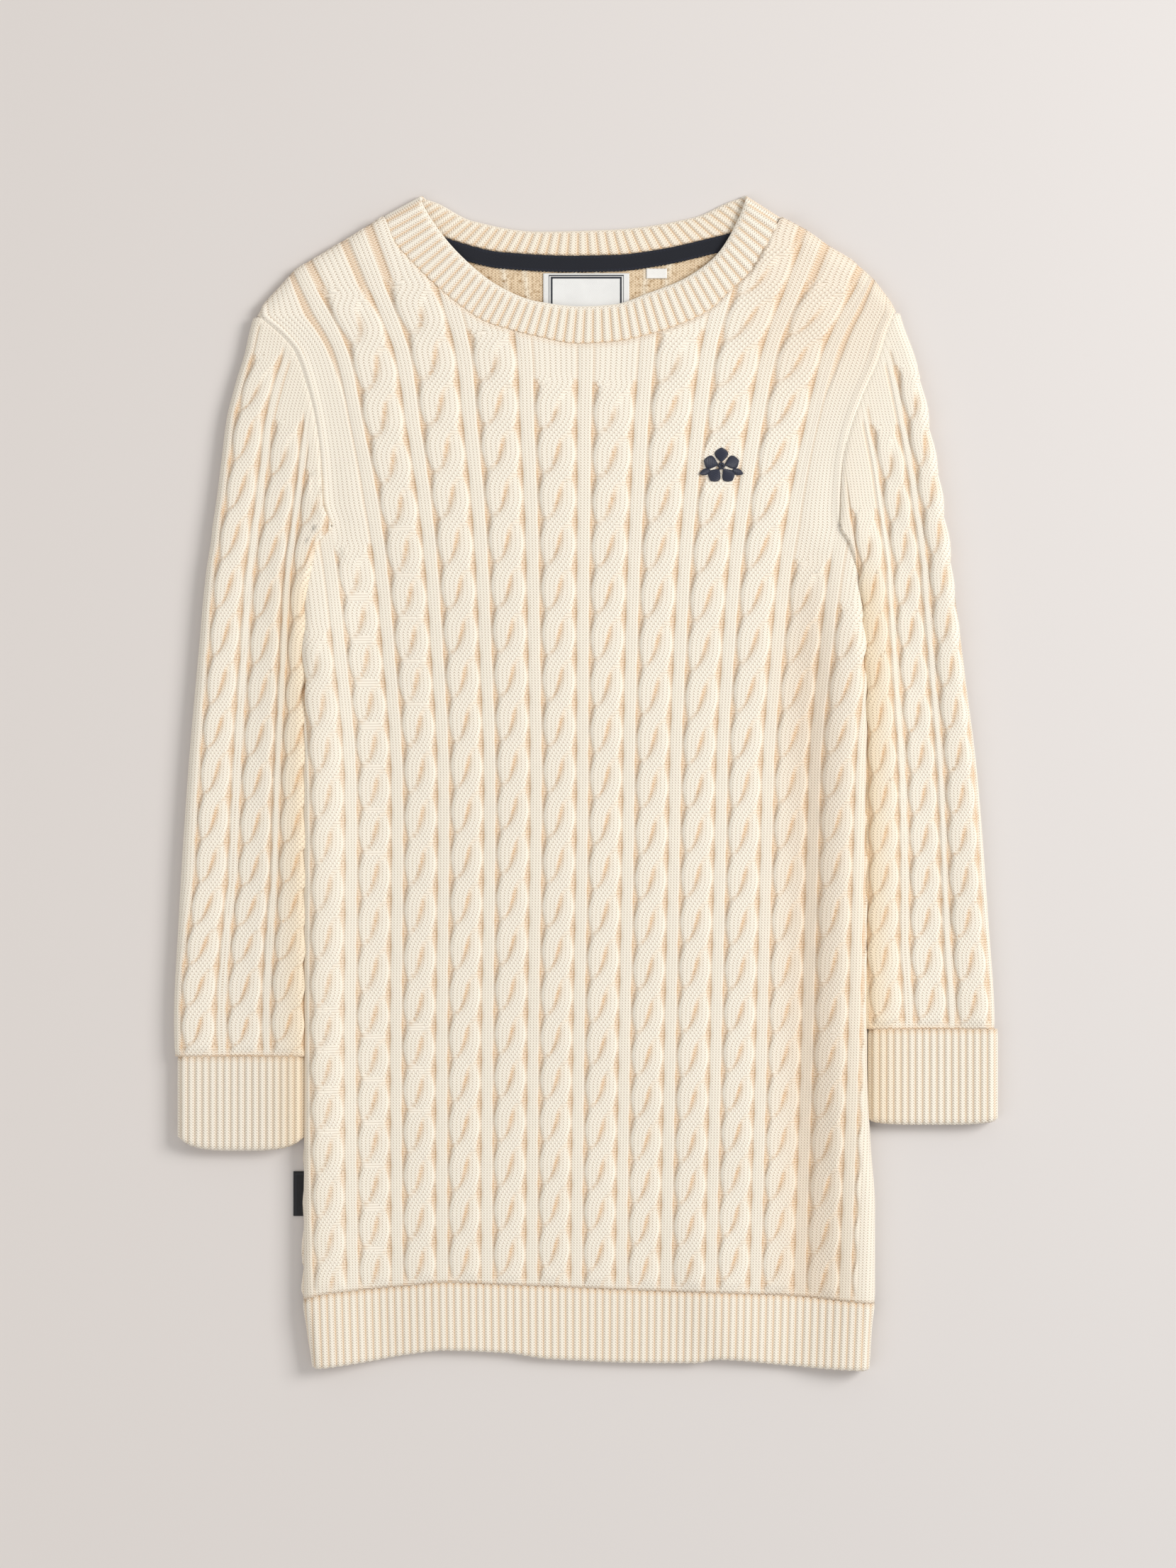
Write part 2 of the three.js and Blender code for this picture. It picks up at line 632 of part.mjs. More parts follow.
// A sleeve's surface, outer or lining: a point by its distance along the cloth from the outer fold
function sleeveSurface(side, lined) {
  const tubeAt = (y) => {
    const tube = sleeveTube(side, y);
    return lined ? lining(tube, WALL * ramp(ARMPIT - y, 0, 10)) : tube;
  };
  const foot = CUFFS[side].top + SEAM;
  const whole = tubeLength(tubeAt(foot));
  const alongAt = (d, y) => {
    const share = (tubeLength(tubeAt(Math.min(y, ARMPIT))) - SLEEVE_STRAIGHT) / (whole - SLEEVE_STRAIGHT);
    return d <= SLEEVE_STRAIGHT ? d : SLEEVE_STRAIGHT + (d - SLEEVE_STRAIGHT) * share;
  };
  const point = (d, y, face, lift) => {
    const tube = tubeAt(y);
    if (y > ARMPIT) tube.inner = tube.outer - Math.sign(tube.outer) * 400;
    return tubePoint(tube, y, alongAt(d, y), face, lift);
  };
  const topOf = (d) => {
    let y = ARMPIT;
    const seam = (at) => Math.abs(sleeveTube(side, at).inner);
    while (d < whole && y < SIDES[side].at(-1).y - 1 && Math.abs(point(d, y + 0.25, 1, 0)[0]) > seam(y)) {
      y += 0.25;
    }
    return d < whole ? y : ARMPIT - (lined ? WALL : 0);
  };
  return { point, topOf, whole, foot };
}

function sleeveColumn(surface, d, face, { line, strand }) {
  const { foot, whole, topOf, point } = surface;
  const top = topOf(d);
  const vertices = [];
  const put = (y, lift) => {
    const at = point(d, y, face, lift);
    vertices.push({ at, phase: y / REPEAT - LEAN * (strand ?? 0) });
  };
  const position = face > 0 ? d / whole : 2 - d / whole;
  if (line !== "strand") {
    const lift = line === "rib" ? RIB : 0;
    const bend = Math.min(top, FOLD_END);
    const step = d > SLEEVE_STRAIGHT ? ARMPIT_STEP : SLEEVE_STEP;
    levels(foot, bend, SLEEVE_STEP).forEach((y) => put(y, lift));
    if (top > bend) levels(bend, Math.min(top, ARMPIT), step).slice(1).forEach((y) => put(y, lift));
    if (top > ARMPIT) levels(ARMPIT, top, SLEEVE_STEP / 2).slice(1).forEach((y) => put(y, lift));
    return { vertices, around: position };
  }
  const third = REPEAT / 3;
  put(foot, RIB);
  const first = Math.ceil((foot + 5 - LEAN * strand * REPEAT) / third);
  for (let k = first; k * third + LEAN * strand * REPEAT < top - 12; k++) {
    put(k * third + LEAN * strand * REPEAT, k % 3 === 0 ? CREASE : CROWN);
  }
  put(top, RIB);
  return { vertices, around: position, strand: true };
}

function sleeveGeometry(side) {
  const surface = sleeveSurface(side, false);
  const inside = sleeveSurface(side, true);
  const lean = side === "left" ? 1 : -1; // keeps every cable turning the same way on the plan
  const specs = [{ d: 0 }];
  for (let k = 0; k < 3; k++) {
    const centre = FIRST_CABLE + SLEEVE_PITCH * k;
    const off = (share) => centre + share * SLEEVE_PITCH;
    const ribs = k > 0 ? [-0.5 - RIB_HALF, -0.5 + RIB_HALF] : [];
    ribs.forEach((share) => specs.push({ d: off(share), line: "rib" }));
    specs.push({ d: off(-CABLE_HALF), line: "gutter" });
    STRANDS.forEach((strand) =>
      specs.push({ d: off(CABLE_HALF * strand), line: "strand", strand: strand * lean }),
    );
    if (k < 2) specs.push({ d: off(CABLE_HALF), line: "gutter" });
  }
  specs.splice(1, 0, { d: 4, line: "rib" });
  const last = surface.whole;
  const kept = specs.filter(({ d }) => d < last - 5);
  const upper = kept.concat({ d: last - 3, line: "gutter" }, { d: last });
  const lower = [last - 4.6, 81, 77, 73, 66, 34, 12, 4.6].map((d) => ({ d }));
  const outer = upper
    .map((spec) => sleeveColumn(surface, spec.d, 1, spec))
    .concat(lower.map((spec) => sleeveColumn(surface, spec.d, -1, {})));
  const end = inside.whole;
  const ring = [0, 2.2, 16, 32, 48, 62, 70, 76, end - 2.2, end].map((d) => sleeveColumn(inside, d, 1, {}));
  const under = [end - 2.2, 76, 70, 60, 30, 2.2].map((d) => sleeveColumn(inside, d, -1, {}));
  return wall(outer, ring.concat(under), true);
}

function cuffGeometry(side) {
  const cuff = CUFFS[side];
  const tube = {
    outer: cuff.outer,
    inner: cuff.inner,
    outerRoll: SLEEVE_ROLL,
    innerRoll: SLEEVE_ROLL,
    top: SLEEVE_TOP,
    low: 0,
    sag: SLEEVE_SAG / 4,
  };
  const width = Math.abs(cuff.outer - cuff.inner);
  const lowAt = (x) => {
    const share = Math.abs(x - (cuff.outer + cuff.inner) / 2) / (width / 2);
    return cuff.low + cuff.corner * Math.min(share, 1) ** 4;
  };
  const column = (shape, along, face, lift, whole) => {
    const [x] = tubePoint(shape, 0, along, face, lift);
    const marks = [lowAt(x), cuff.top - SEAM];
    const vertices = marks.map((y) => ({ at: tubePoint(shape, y, along, face, lift) }));
    return { vertices, around: face > 0 ? along / whole : 2 - along / whole };
  };
  const whole = tubeLength(tube);
  const count = Math.round(whole / CUFF_RIB) * 2;
  const outer = Array.from({ length: count + 1 }, (_, i) =>
    column(tube, (whole * i) / count, 1, i % 2 === 1 ? RIB : 0, whole),
  );
  [0.95, 0.6, 0.3, 0.05].forEach((share) => outer.push(column(tube, share * whole, -1, 0, whole)));
  const inset = lining(tube, WALL);
  const within = tubeLength(inset);
  const spots = [0, 0.03, 0.25, 0.5, 0.75, 0.97, 1];
  const inner = spots.map((share) => column(inset, share * within, 1, 0, within));
  [0.97, 0.5, 0.03].forEach((share) => inner.push(column(inset, share * within, -1, 0, within)));
  return wall(outer, inner, true);
}

// Neckband

// Points at even steps along a line, between two distances from its ends
function walk(rows, count, trim) {
  const line = new THREE.CurvePath();
  const at = rows.map(({ x, y }) => new THREE.Vector3(x, y, 0));
  at.slice(1).forEach((end, i) => line.add(new THREE.LineCurve3(at[i], end)));
  const cut = trim / line.getLength();
  return Array.from({ length: count + 1 }, (_, i) =>
    line.getPointAt(cut + ((1 - 2 * cut) * i) / count),
  );
}

function neckbandGeometry() {
  const radius = BAND_TOP / 2;
  const halves = [
    { free: FRONT_EDGE, seam: TOP_SEAM.slice(NECK_LEFT, NECK_RIGHT + 1), up: true },
    { free: BACK_EDGE, seam: BACK_SEAM, up: false },
  ].map(({ free, seam, up }) => {
    const steps = free.slice(1).map((p, i) => Math.hypot(p.x - free[i].x, p.y - free[i].y));
    const length = steps.reduce((sum, step) => sum + step, 0) * (up ? 1.14 : 1.05);
    const count = Math.round(length / BAND_RIB) * 2;
    const a = walk(free, count, radius);
    const b = walk(seam, count, radius);
    return a.map((point, i) => {
      const seam = b[i].clone().lerp(point, 0.04);
      return { free: point, seam, up, ridge: i % 2 === 1 };
    });
  });
  const [front, back] = halves;
  back.reverse();
  // A station holds four corners: the outside at the free edge and at the seam, then the inside
  // at the seam and at the free edge
  const flat = ({ free, seam, up, ridge }) => {
    const raise = ridge ? BAND_RELIEF : 0;
    const outside = up ? BAND_TOP - BAND_RELIEF + raise : 0;
    const inside = up ? BAND_TOP - BAND_RELIEF - WALL : BACK_TOP + raise;
    return [[free, outside], [seam, outside], [seam, inside], [free, inside]];
  };
  const fold = (from, to, tip) =>
    [45, 90, 135].map((degrees) => {
      const angle = THREE.MathUtils.degToRad(degrees);
      const corner = (name) => from[name].clone().lerp(to[name], (1 - Math.cos(angle)) / 2);
      const middle = from.free.clone().add(to.free).add(from.seam).add(to.seam).multiplyScalar(0.25);
      const out = tip.clone().sub(middle).setZ(0).normalize();
      const ring = (name, size) =>
        corner(name).addScaledVector(out, size * Math.sin(angle));
      const outer = radius - BAND_RELIEF / 2;
      const inner = outer - WALL + 0.2;
      const high = outer + outer * Math.cos(angle);
      const low = outer + 0.1 + inner * Math.cos(angle);
      return [[ring("free", outer), high], [ring("seam", outer), high], [ring("seam", inner), low],
        [ring("free", inner), low]];
    });
  const tipOf = (free, seam) => new THREE.Vector3((free.x + seam.x) / 2, (free.y + seam.y) / 2, 0);
  const rightTip = tipOf(FRONT_EDGE.at(-1), BACK_SEAM.at(-1));
  const leftTip = tipOf(FRONT_EDGE[0], BACK_SEAM[0]);
  const stations = [
    ...front.map(flat),
    ...fold(front.at(-1), back[0], rightTip),
    ...back.map(flat),
    ...fold(back.at(-1), front[0], leftTip).map((corners, i, all) => {
      // The left fold climbs, so its heights run the other way
      const mirror = all[all.length - 1 - i];
      return corners.map(([point], k) => [point, mirror[k][1]]);
    }),
  ];
  const points = [];
  const faces = [];
  stations.forEach((corners) => corners.forEach(([p, z]) => points.push(p.x, p.y, z)));
  stations.forEach((_, s) => {
    const next = (s + 1) % stations.length;
    for (let k = 0; k < 4; k++) {
      const [a, b] = [4 * s + k, 4 * s + ((k + 1) % 4)];
      const [c, d] = [4 * next + k, 4 * next + ((k + 1) % 4)];
      faces.push(a, b, c, b, d, c);
    }
  });
  return new THREE.BufferGeometry()
    .setAttribute("position", new THREE.BufferAttribute(new Float32Array(points), 3))
    .setIndex(faces);
}

// Tape, labels and motif

function tapeGeometry() {
  const span = TAPE_ENDS.to - TAPE_ENDS.from;
  const xs = Array.from({ length: 15 }, (_, i) => TAPE_ENDS.from + (span * i) / 14);
  const edge = (drop) => xs.map((x) => [x, read(BACK_SEAM, "x", "y", x) - drop]);
  return slab([...edge(3 * SEAM), ...edge(3 * SEAM + TAPE_WIDTH).reverse()], BACK_TOP + SEAM, TAPE);
}

const boxOutline = ({ left, right, top, low }) => [[left, low], [right, low], [right, top], [left, top]];

// A five-petalled flower with a leaf on each side, as one outline around its centre
function motifGeometry() {
  const outline = Array.from({ length: 72 }, (_, i) => {
    const angle = (i / 72) * 2 * Math.PI;
    const petal = MOTIF.petal * (0.62 + 0.38 * Math.abs(Math.cos(2.5 * (angle - Math.PI / 2))) ** 0.7);
    const leaf = [-20, 200].map((degrees) => {
      const off = Math.abs(Math.sin((angle - THREE.MathUtils.degToRad(degrees)) / 2));
      return off < 0.17 ? MOTIF.leaf * (1 - 2.4 * off) : 0;
    });
    const radius = Math.max(petal, ...leaf);
    return [MOTIF.x + radius * Math.cos(angle), MOTIF.y + radius * Math.sin(angle)];
  });
  const z = bodyTop("right", MOTIF.x, MOTIF.y) + MOTIF.press + SEAM;
  return slab(outline, z, MOTIF.thick);
}

// The dress

const CREAM = { color: 0xe9dfc9, roughness: 0.9, metalness: 0 };
const NAVY = { color: 0x1b2030, roughness: 0.85, metalness: 0 };
const WHITE = { color: 0xeeeae2, roughness: 0.7, metalness: 0 };

const dress = new THREE.Group();
dress.name = "dress";

function add(name, geometry, finish) {
  const mesh = new THREE.Mesh(geometry, new THREE.MeshStandardMaterial(finish));
  mesh.name = name;
  dress.add(mesh);
}

add("back", backGeometry(), CREAM);
add("back_hem", backHemGeometry(), CREAM);
add("front", frontGeometry(), CREAM);
add("front_hem", frontHemGeometry(), CREAM);
for (const side of ["left", "right"]) {
  add(side + "_sleeve", sleeveGeometry(side), CREAM);
  add(side + "_cuff", cuffGeometry(side), CREAM);
}
add("neckband", neckbandGeometry(), CREAM);
add("neck_tape", tapeGeometry(), NAVY);
add("neck_label", slab(boxOutline(LABEL_BOX), BACK_TOP + SEAM, LABEL), WHITE);
add("size_label", slab(boxOutline(SIZE_BOX), BACK_TOP + SEAM, LABEL), WHITE);
add("side_tab", slab(boxOutline(TAB_BOX), TAB_BOX.z, TAB_BOX.thick), NAVY);
add("chest_motif", motifGeometry(), NAVY);

// The origin is under the middle of the dress, on the surface it lies on
const box = new THREE.Box3().setFromObject(dress);
const centre = box.getCenter(new THREE.Vector3());
dress.position.set(-centre.x, -centre.y, -box.min.z);
dress.updateMatrixWorld(true);

export default dress;
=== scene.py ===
import math

import bpy
import numpy as np
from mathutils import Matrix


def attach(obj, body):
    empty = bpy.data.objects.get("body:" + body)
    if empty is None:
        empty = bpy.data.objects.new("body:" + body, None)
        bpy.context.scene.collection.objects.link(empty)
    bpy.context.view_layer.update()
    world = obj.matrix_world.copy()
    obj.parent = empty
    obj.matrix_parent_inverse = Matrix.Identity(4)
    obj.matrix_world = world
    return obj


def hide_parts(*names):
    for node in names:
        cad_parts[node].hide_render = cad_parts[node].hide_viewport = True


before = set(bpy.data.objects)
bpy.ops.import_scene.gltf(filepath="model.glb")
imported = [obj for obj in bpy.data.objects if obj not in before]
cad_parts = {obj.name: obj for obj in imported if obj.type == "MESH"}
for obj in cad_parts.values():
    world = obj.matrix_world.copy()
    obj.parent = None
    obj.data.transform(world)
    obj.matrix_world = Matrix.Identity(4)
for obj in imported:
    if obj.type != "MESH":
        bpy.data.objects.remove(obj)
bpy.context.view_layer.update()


# View, floor and light
# A seamless pale backdrop with the dress laid flat on it, seen from straight above.
# One large soft light stands up and to the right, and white walls all round fill the rest.

def colour(hexa):
    parts = [int(hexa[i:i + 2], 16) / 255 for i in (1, 3, 5)]
    return tuple(p / 12.92 if p <= 0.04045 else ((p + 0.055) / 1.055) ** 2.4 for p in parts) + (1,)


def node(tree, kind, *values, **facts):
    """Adds a node. The values fill its first inputs, and a node stands for its first output. A fact whose
    name starts with a capital is an input, i6 is the input of that number, and the others are settings."""
    made = tree.nodes.new("ShaderNode" + kind)
    inputs = dict(enumerate(values))
    for key, value in facts.items():
        if key[0].isupper():
            inputs[key.replace("_", " ")] = value
        elif key[1:].isdigit():
            inputs[int(key[1:])] = value
        else:
            setattr(made, key, value)
    for key, value in inputs.items():
        if isinstance(value, bpy.types.Node):
            value = value.outputs[0]
        if isinstance(value, bpy.types.NodeSocket):
            tree.links.new(value, made.inputs[key])
        else:
            made.inputs[key].default_value = value
    return made


def new_material(name):
    material = bpy.data.materials.new(name)
    material.use_nodes = True
    material.node_tree.nodes.clear()
    return material, material.node_tree


def finish_material(tree, **facts):
    node(tree, "OutputMaterial", Surface=node(tree, "BsdfPrincipled", **facts))


scene = bpy.context.scene
scene.view_settings.view_transform = "Standard"
scene.view_settings.look = "None"

PHOTO_HEIGHT = 1.0790  # metres of the floor that the photo's long side covers
CAMERA_HEIGHT = 2.6
camera_data = bpy.data.cameras.new("camera")
camera_data.lens = camera_data.sensor_width * (CAMERA_HEIGHT - 0.008) / PHOTO_HEIGHT
camera = bpy.data.objects.new("camera", camera_data)
camera.location = (0.001, -0.0005, CAMERA_HEIGHT)
scene.collection.objects.link(camera)
scene.camera = camera

backdrop, tree = new_material("painted_paper_backdrop")
place = node(tree, "TexCoord").outputs["Object"]
across = node(tree, "SeparateXYZ", place).outputs["X"]
side_share = node(tree, "MapRange", across, -0.5, 0.5)
tone = node(tree, "ValToRGB", side_share)
tone.color_ramp.elements[0].color = colour("#d8d2ce")
tone.color_ramp.elements[1].color = colour("#d6d2d0")
grain = node(tree, "TexNoise", Vector=place, Scale=900.0, Detail=2.0)
paper_bump = node(tree, "Bump", Height=grain, Strength=0.05, Distance=0.0002)
finish_material(tree, Base_Color=tone, Roughness=0.9, Normal=paper_bump)

floor_mesh = bpy.data.meshes.new("backdrop")
floor_mesh.from_pydata([(-4, -4, -0.0002), (4, -4, -0.0002), (4, 4, -0.0002), (-4, 4, -0.0002)], [],
                       [(0, 1, 2, 3)])
floor_mesh.materials.append(backdrop)
floor = bpy.data.objects.new("backdrop", floor_mesh)
scene.collection.objects.link(floor)


def soft_light(name, size, power, location, tint):
    data = bpy.data.lights.new(name, "AREA")
    data.shape = "SQUARE"
    data.size = size
    data.energy = power
    data.color = tint
    light = bpy.data.objects.new(name, data)
    light.location = location
    aim = -light.location.normalized()
    light.rotation_mode = "QUATERNION"
    light.rotation_quaternion = aim.to_track_quat("-Z", "Y")
    scene.collection.objects.link(light)


soft_light("key", 1.4, 81, (2.35, 0.95, 2.05), (1.0, 0.99, 0.975))
soft_light("fill", 2.4, 22, (-1.7, -1.0, 2.4), (1.0, 0.99, 0.98))
scene.world = bpy.data.worlds.new("white_walls")
scene.world.use_nodes = True
scene.world.node_tree.nodes["Background"].inputs["Color"].default_value = (1.0, 0.985, 0.97, 1)
scene.world.node_tree.nodes["Background"].inputs["Strength"].default_value = 0.5


# Front
# The front panel of the dress: cotton yarn knitted by machine, with twelve cables of eight wales
# crossed four over four, and ribs of four wales between purl gutters. It turns under at both
# sides, and is linked to the back there, to the sleeves at the armholes, and to the hem and neckband.
# Sizes are in millimetres on the plan, which lies SHIFT away from the part's own frame.

SHIFT = np.array([0.4943, 0.7282, 0.0])
WALL = 3.0  # thickness of the cloth
SEAM = 0.4  # room left at a seam
BACK_TOP = 3.2  # heights of the cloth above the surface, up to the top of the side folds
MIDDLE_TOP = 7.8
CHEST_TOP = 9.2
FOLD_TOP = 14.0
FOLD_REACH = 56.0  # how far the rise towards a side fold reaches
ROLL = 6.6  # radius of the side folds
SEAM_TURN = math.radians(150)  # how far the front turns round them
SHOULDER_FALL = 14.0
SHOULDER_EDGE = 5.6
ARMPIT = 176.0
FOLD_END = 112.0  # the folds flatten out from here to the armpit
LAST_STRAIGHT = 4  # columns beyond this one bend with the armhole
EDGES = {"left": -6.32, "right": 6.9}  # outermost columns, at the side seams

COLUMNS = np.array([  # y, middle, pitch
    (-405, -7.3, 30.4), (-357, -7.3, 30.7), (-193, -5.9, 31.4), (2, -3.2, 31.9), (99, -3, 33.6),
    (148, -2.7, 34.8), (197, -2.2, 36.7), (246, -2, 39.2), (294, -1, 42), (343, -1, 48.2), (392, -1, 54.6)])
SIDES = {  # y, sleeve, body
    "left": np.array([
        (-404, -283, -187.8), (-396, -283, -189.2), (-375, -283, -192.2), (-356, -283, -194.6),
        (-193, -283, -193.6), (-165, -283.5, -193.8), (-96, -280.4, -194.4), (2, -274.2, -194.9),
        (96, -266, -195.1), (127, -263.3, -194.6), (149, -260.8, -191.6), (165, -258.2, -187),
        (176, -257, -178.3), (192, -254.6, -182.7), (221, -251, -184.1), (250, -247.4, -187.6),
        (275, -241.2, -193.4), (296, -234.8, -200.7), (309, -232, -211.5), (321, -228.8, -226.6)]),
    "right": np.array([
        (-405, 279.5, 192.9), (-373, 279.5, 195.1), (-358, 279.5, 197), (-291, 279.5, 197),
        (-252, 279.5, 194.2), (-193, 279.5, 191.6), (-169, 279.5, 191.6), (-96, 275.2, 191.6),
        (6, 267.4, 191.8), (71, 259.4, 192.1), (98, 256.2, 190.5), (132, 252, 188), (155, 249.6, 184),
        (165, 248.2, 181.4), (176, 246.6, 176.4), (190, 244.4, 175.4), (216, 240.8, 176.3),
        (239, 236.4, 180.2), (263, 231.8, 188), (291, 225.6, 199.8), (313, 217.6, 206.6),
        (324, 214, 211.8)])}
LEFT_SHOULDER = np.array([  # x, y
    (-226.6, 321.2), (-222.7, 330), (-211.7, 341.7), (-201.2, 353.4), (-183.2, 364.1), (-163.2, 375.9),
    (-137.3, 391.5)])
NECK_SEAM = np.array([
    (-137.3, 391.5), (-133.7, 375.9), (-120.7, 359.3), (-105.1, 344.1), (-90, 331), (-71, 318.3),
    (-53.4, 312.4), (-34.4, 307.6), (-6.6, 302.7), (18.8, 304.1), (42.2, 309), (65.6, 316.8),
    (84.1, 326.1), (96.8, 338.3), (112.4, 352.4), (121.7, 368), (129.5, 383.7), (132.4, 389.5)])
RIGHT_SHOULDER = np.array([
    (132.4, 389.5), (151.3, 380.2), (166.6, 369.5), (182.2, 360.2), (197.8, 346.1), (209.8, 330),
    (211.8, 323.7)])
HEM = np.array([  # x, top, low
    (-196, -356, -404), (-184, -352.4, -403.2), (-150, -348.8, -398.8), (-123, -346.4, -394.1),
    (-98, -344.2, -391.4), (-54, -346, -393.4), (-27, -347, -397.3), (50, -350.4, -400.2),
    (74, -351, -400.2), (90, -351.4, -397.7), (137, -353.4, -401.7), (165, -355.6, -403.7),
    (198, -358.5, -405.2)])


def along(table, column, at):
    """The value of a table's column where its first column is at, on a smooth line without overshoot."""
    x, y = table[:, 0], table[:, column]
    h = np.diff(x)
    slope = np.diff(y) / h
    turn = np.concatenate([[slope[0]], np.zeros(len(x) - 2), [slope[-1]]])
    same = slope[:-1] * slope[1:] > 0
    turn[1:-1][same] = 2 * slope[:-1][same] * slope[1:][same] / (slope[:-1] + slope[1:])[same]
    at = np.clip(at, x[0], x[-1])
    i = np.clip(np.searchsorted(x, at) - 1, 0, len(x) - 2)
    t = (at - x[i]) / h[i]
    return (y[i] * (1 + 2 * t) * (1 - t) ** 2 + y[i + 1] * t * t * (3 - 2 * t)
            + h[i] * (turn[i] * t * (1 - t) ** 2 - turn[i + 1] * t * t * (1 - t)))


def smooth(value, start, end):
    t = np.clip((value - start) / (end - start), 0, 1)
    return t * t * (3 - 2 * t)


def by_side(c, function):
    return np.where(c < 0, function("left"), function("right"))


def body_edge(side, y):
    return along(SIDES[side], 2, y)


def sleeve_edge(side, y):
    return along(SIDES[side], 1, y)


def middle_of(y):
    return along(COLUMNS, 1, y)


def pitch_of(y):
    return along(COLUMNS, 2, y)


def half_width(side, y):
    return np.abs(body_edge(side, y) - middle_of(y))


def below_armpit(y):
    """1 where the side is a full fold, falling to 0 at the armpit."""
    return 1 - np.clip((y - FOLD_END) / (ARMPIT - FOLD_END), 0, 1)


def fold_radius(y):
    return ROLL * below_armpit(y)


ARMHOLE_COLUMN = {side: float(half_width(side, ARMPIT) / pitch_of(ARMPIT)) for side in SIDES}


def top_seam(x):
    neck = along(NECK_SEAM, 1, x)
    left = np.interp(x, LEFT_SHOULDER[:, 0], LEFT_SHOULDER[:, 1])
    right = np.interp(x, RIGHT_SHOULDER[:, 0], RIGHT_SHOULDER[:, 1])
    return np.where(x < NECK_SEAM[0, 0], left, np.where(x > NECK_SEAM[-1, 0], right, neck))


# Soft troughs and ridges where the cloth lies unevenly
CREASES = [  # x, y, length, width, depth, lean
    (144, -80, 540, 18, -2.4, 0.02), (178, -120, 400, 10, 0.8, 0.02), (154, -280, 170, 20, -2.2, -0.05),
    (88, -350, 120, 24, 2.4, -0.25), (40, -300, 170, 26, -0.8, -0.2), (-96, -350, 130, 40, 1.2, 0.1),
    (-30, 60, 380, 60, 0.7, 0.05), (-160, -40, 420, 13, -0.9, 0.0), (-168, 196, 60, 11, 1.6, -0.2),
    (160, 190, 60, 11, 1.4, 0.2)]


def creases(x, y):
    total = 0.0
    for middle, height, length, width, depth, lean in CREASES:
        up = (y - height) / (length / 2)
        off = (x - middle - lean * (y - height)) / width
        total = total + depth * np.exp(-off ** 2) * np.exp(-up ** 4)
    return total


def body_top(x, y, edge):
    """Upper side of the front without its relief."""
    chest = MIDDLE_TOP + (CHEST_TOP - MIDDLE_TOP) * smooth(y, 120, 260)
    fold = 1 - smooth(np.abs(edge - x), ROLL, FOLD_REACH)
    rise = (FOLD_TOP - chest) * fold * (1 - smooth(y, FOLD_END - 20, ARMPIT + 10))
    below = np.clip((top_seam(x) - y) / SHOULDER_FALL, 0, 1)
    corner = NECK_SEAM[-1, 0]
    shoulder = smooth(np.abs(x), corner, corner + 40) * (1 - below) ** 2
    free = smooth(np.abs(edge - x), ROLL, 30)
    return chest + rise - (chest - SHOULDER_EDGE) * shoulder + creases(x, y) * free


def body_point(c, y, lift):
    """Points of the front by column and height, lifted off its upper side."""
    c, y, lift = np.broadcast_arrays(np.asarray(c, float), np.asarray(y, float), np.asarray(lift, float))
    sign = np.where(c < 0, -1.0, 1.0)
    middle, pitch = middle_of(y), pitch_of(y)
    half = by_side(c, lambda side: half_width(side, y))
    edge = by_side(c, lambda side: body_edge(side, y))
    last = by_side(c, ARMHOLE_COLUMN.get)
    roll = fold_radius(y)
    flat = half - roll
    across = np.abs(c) * pitch
    share = (np.abs(c) - LAST_STRAIGHT) / (last - LAST_STRAIGHT)
    bent = LAST_STRAIGHT * pitch + share * (half - LAST_STRAIGHT * pitch)
    across = np.where((y > ARMPIT) & (np.abs(c) > LAST_STRAIGHT), bent, across)
    turn = np.clip((across - flat) / np.maximum(roll, 1e-6), 0, SEAM_TURN) * (roll > 1e-3)
    inner = middle + sign * np.minimum(across, flat)
    x = inner + sign * (roll + lift) * np.sin(turn)
    z = body_top(inner, y, edge) - roll + (roll + lift) * np.cos(turn)
    z = np.where(lift < 0, np.maximum(z, BACK_TOP + SEAM), z)
    return np.stack([x, y, z], -1)


def hem_seam(c):
    return along(HEM, 1, body_point(c, -352.0, 0.0)[..., 0])


def body_column_top(c):
    side = "left" if c < 0 else "right"
    if abs(c) > ARMHOLE_COLUMN[side] + 1e-6:
        y = np.arange(ARMPIT, -300, -0.25)
        turn = SEAM_TURN * below_armpit(y)
        seam = (half_width(side, y) + fold_radius(y) * (turn - 1)) / pitch_of(y)
        return float(y[np.argmax(seam >= abs(c))]) if (seam >= abs(c)).any() else -300.0
    y = np.arange(ARMPIT, 396, 0.125)
    return float(y[np.argmax(y >= top_seam(body_point(c, y, 0.0)[..., 0]))])


# How far each cable's crossings lie above even places 31.6 mm apart, from the left cable to the right
REPEAT = 31.6
FIRST_PLACE = 6.3  # y of one of the even places
CROSSING_SHIFT = np.array([  # y, then the twelve cables
    (-341, -5, 6, 11, 13, 17, 23, 20, 7, 8, 14, 11, 0),
    (-246, -8, -2, 6, 11, 14, 14, 8, 0, -2, 6, 0, -1),
    (-152, -20, -10, -2, 6, 9, 5, 0, -8, -7, -8, -8, -6),
    (-57, -16, -7, 1, 5, 8, 2, -3, -10, -8, -10, -6, 0),
    (38, -17, -14, 1, 4, 5, 1, -3, -9, -12, -7, -6, -5),
    (133, -18, -22, -5, 0, 1, 0, -2, -4, -6, -3, -2, 0),
    (228, -18, -22, -8, 0, 2, -1, -4, -1, -4, -1, 0, 0),
    (322, -18, -22, -5, 1, -2, -6, -7, -1, -4, 0, 0, 0)], float)
CABLE_HALF = 0.352  # half a cable's width, in column pitches
RIB_HALF = 0.13
GUTTER_WIDTH = 0.5 - RIB_HALF - CABLE_HALF
CROWN = 2.9  # height of a cable's strands
TIP = 1.3  # height of a strand where it comes out from under the next
RIB = 1.1  # heights of the plain wales and of the purl gutters
GUTTER = -0.3
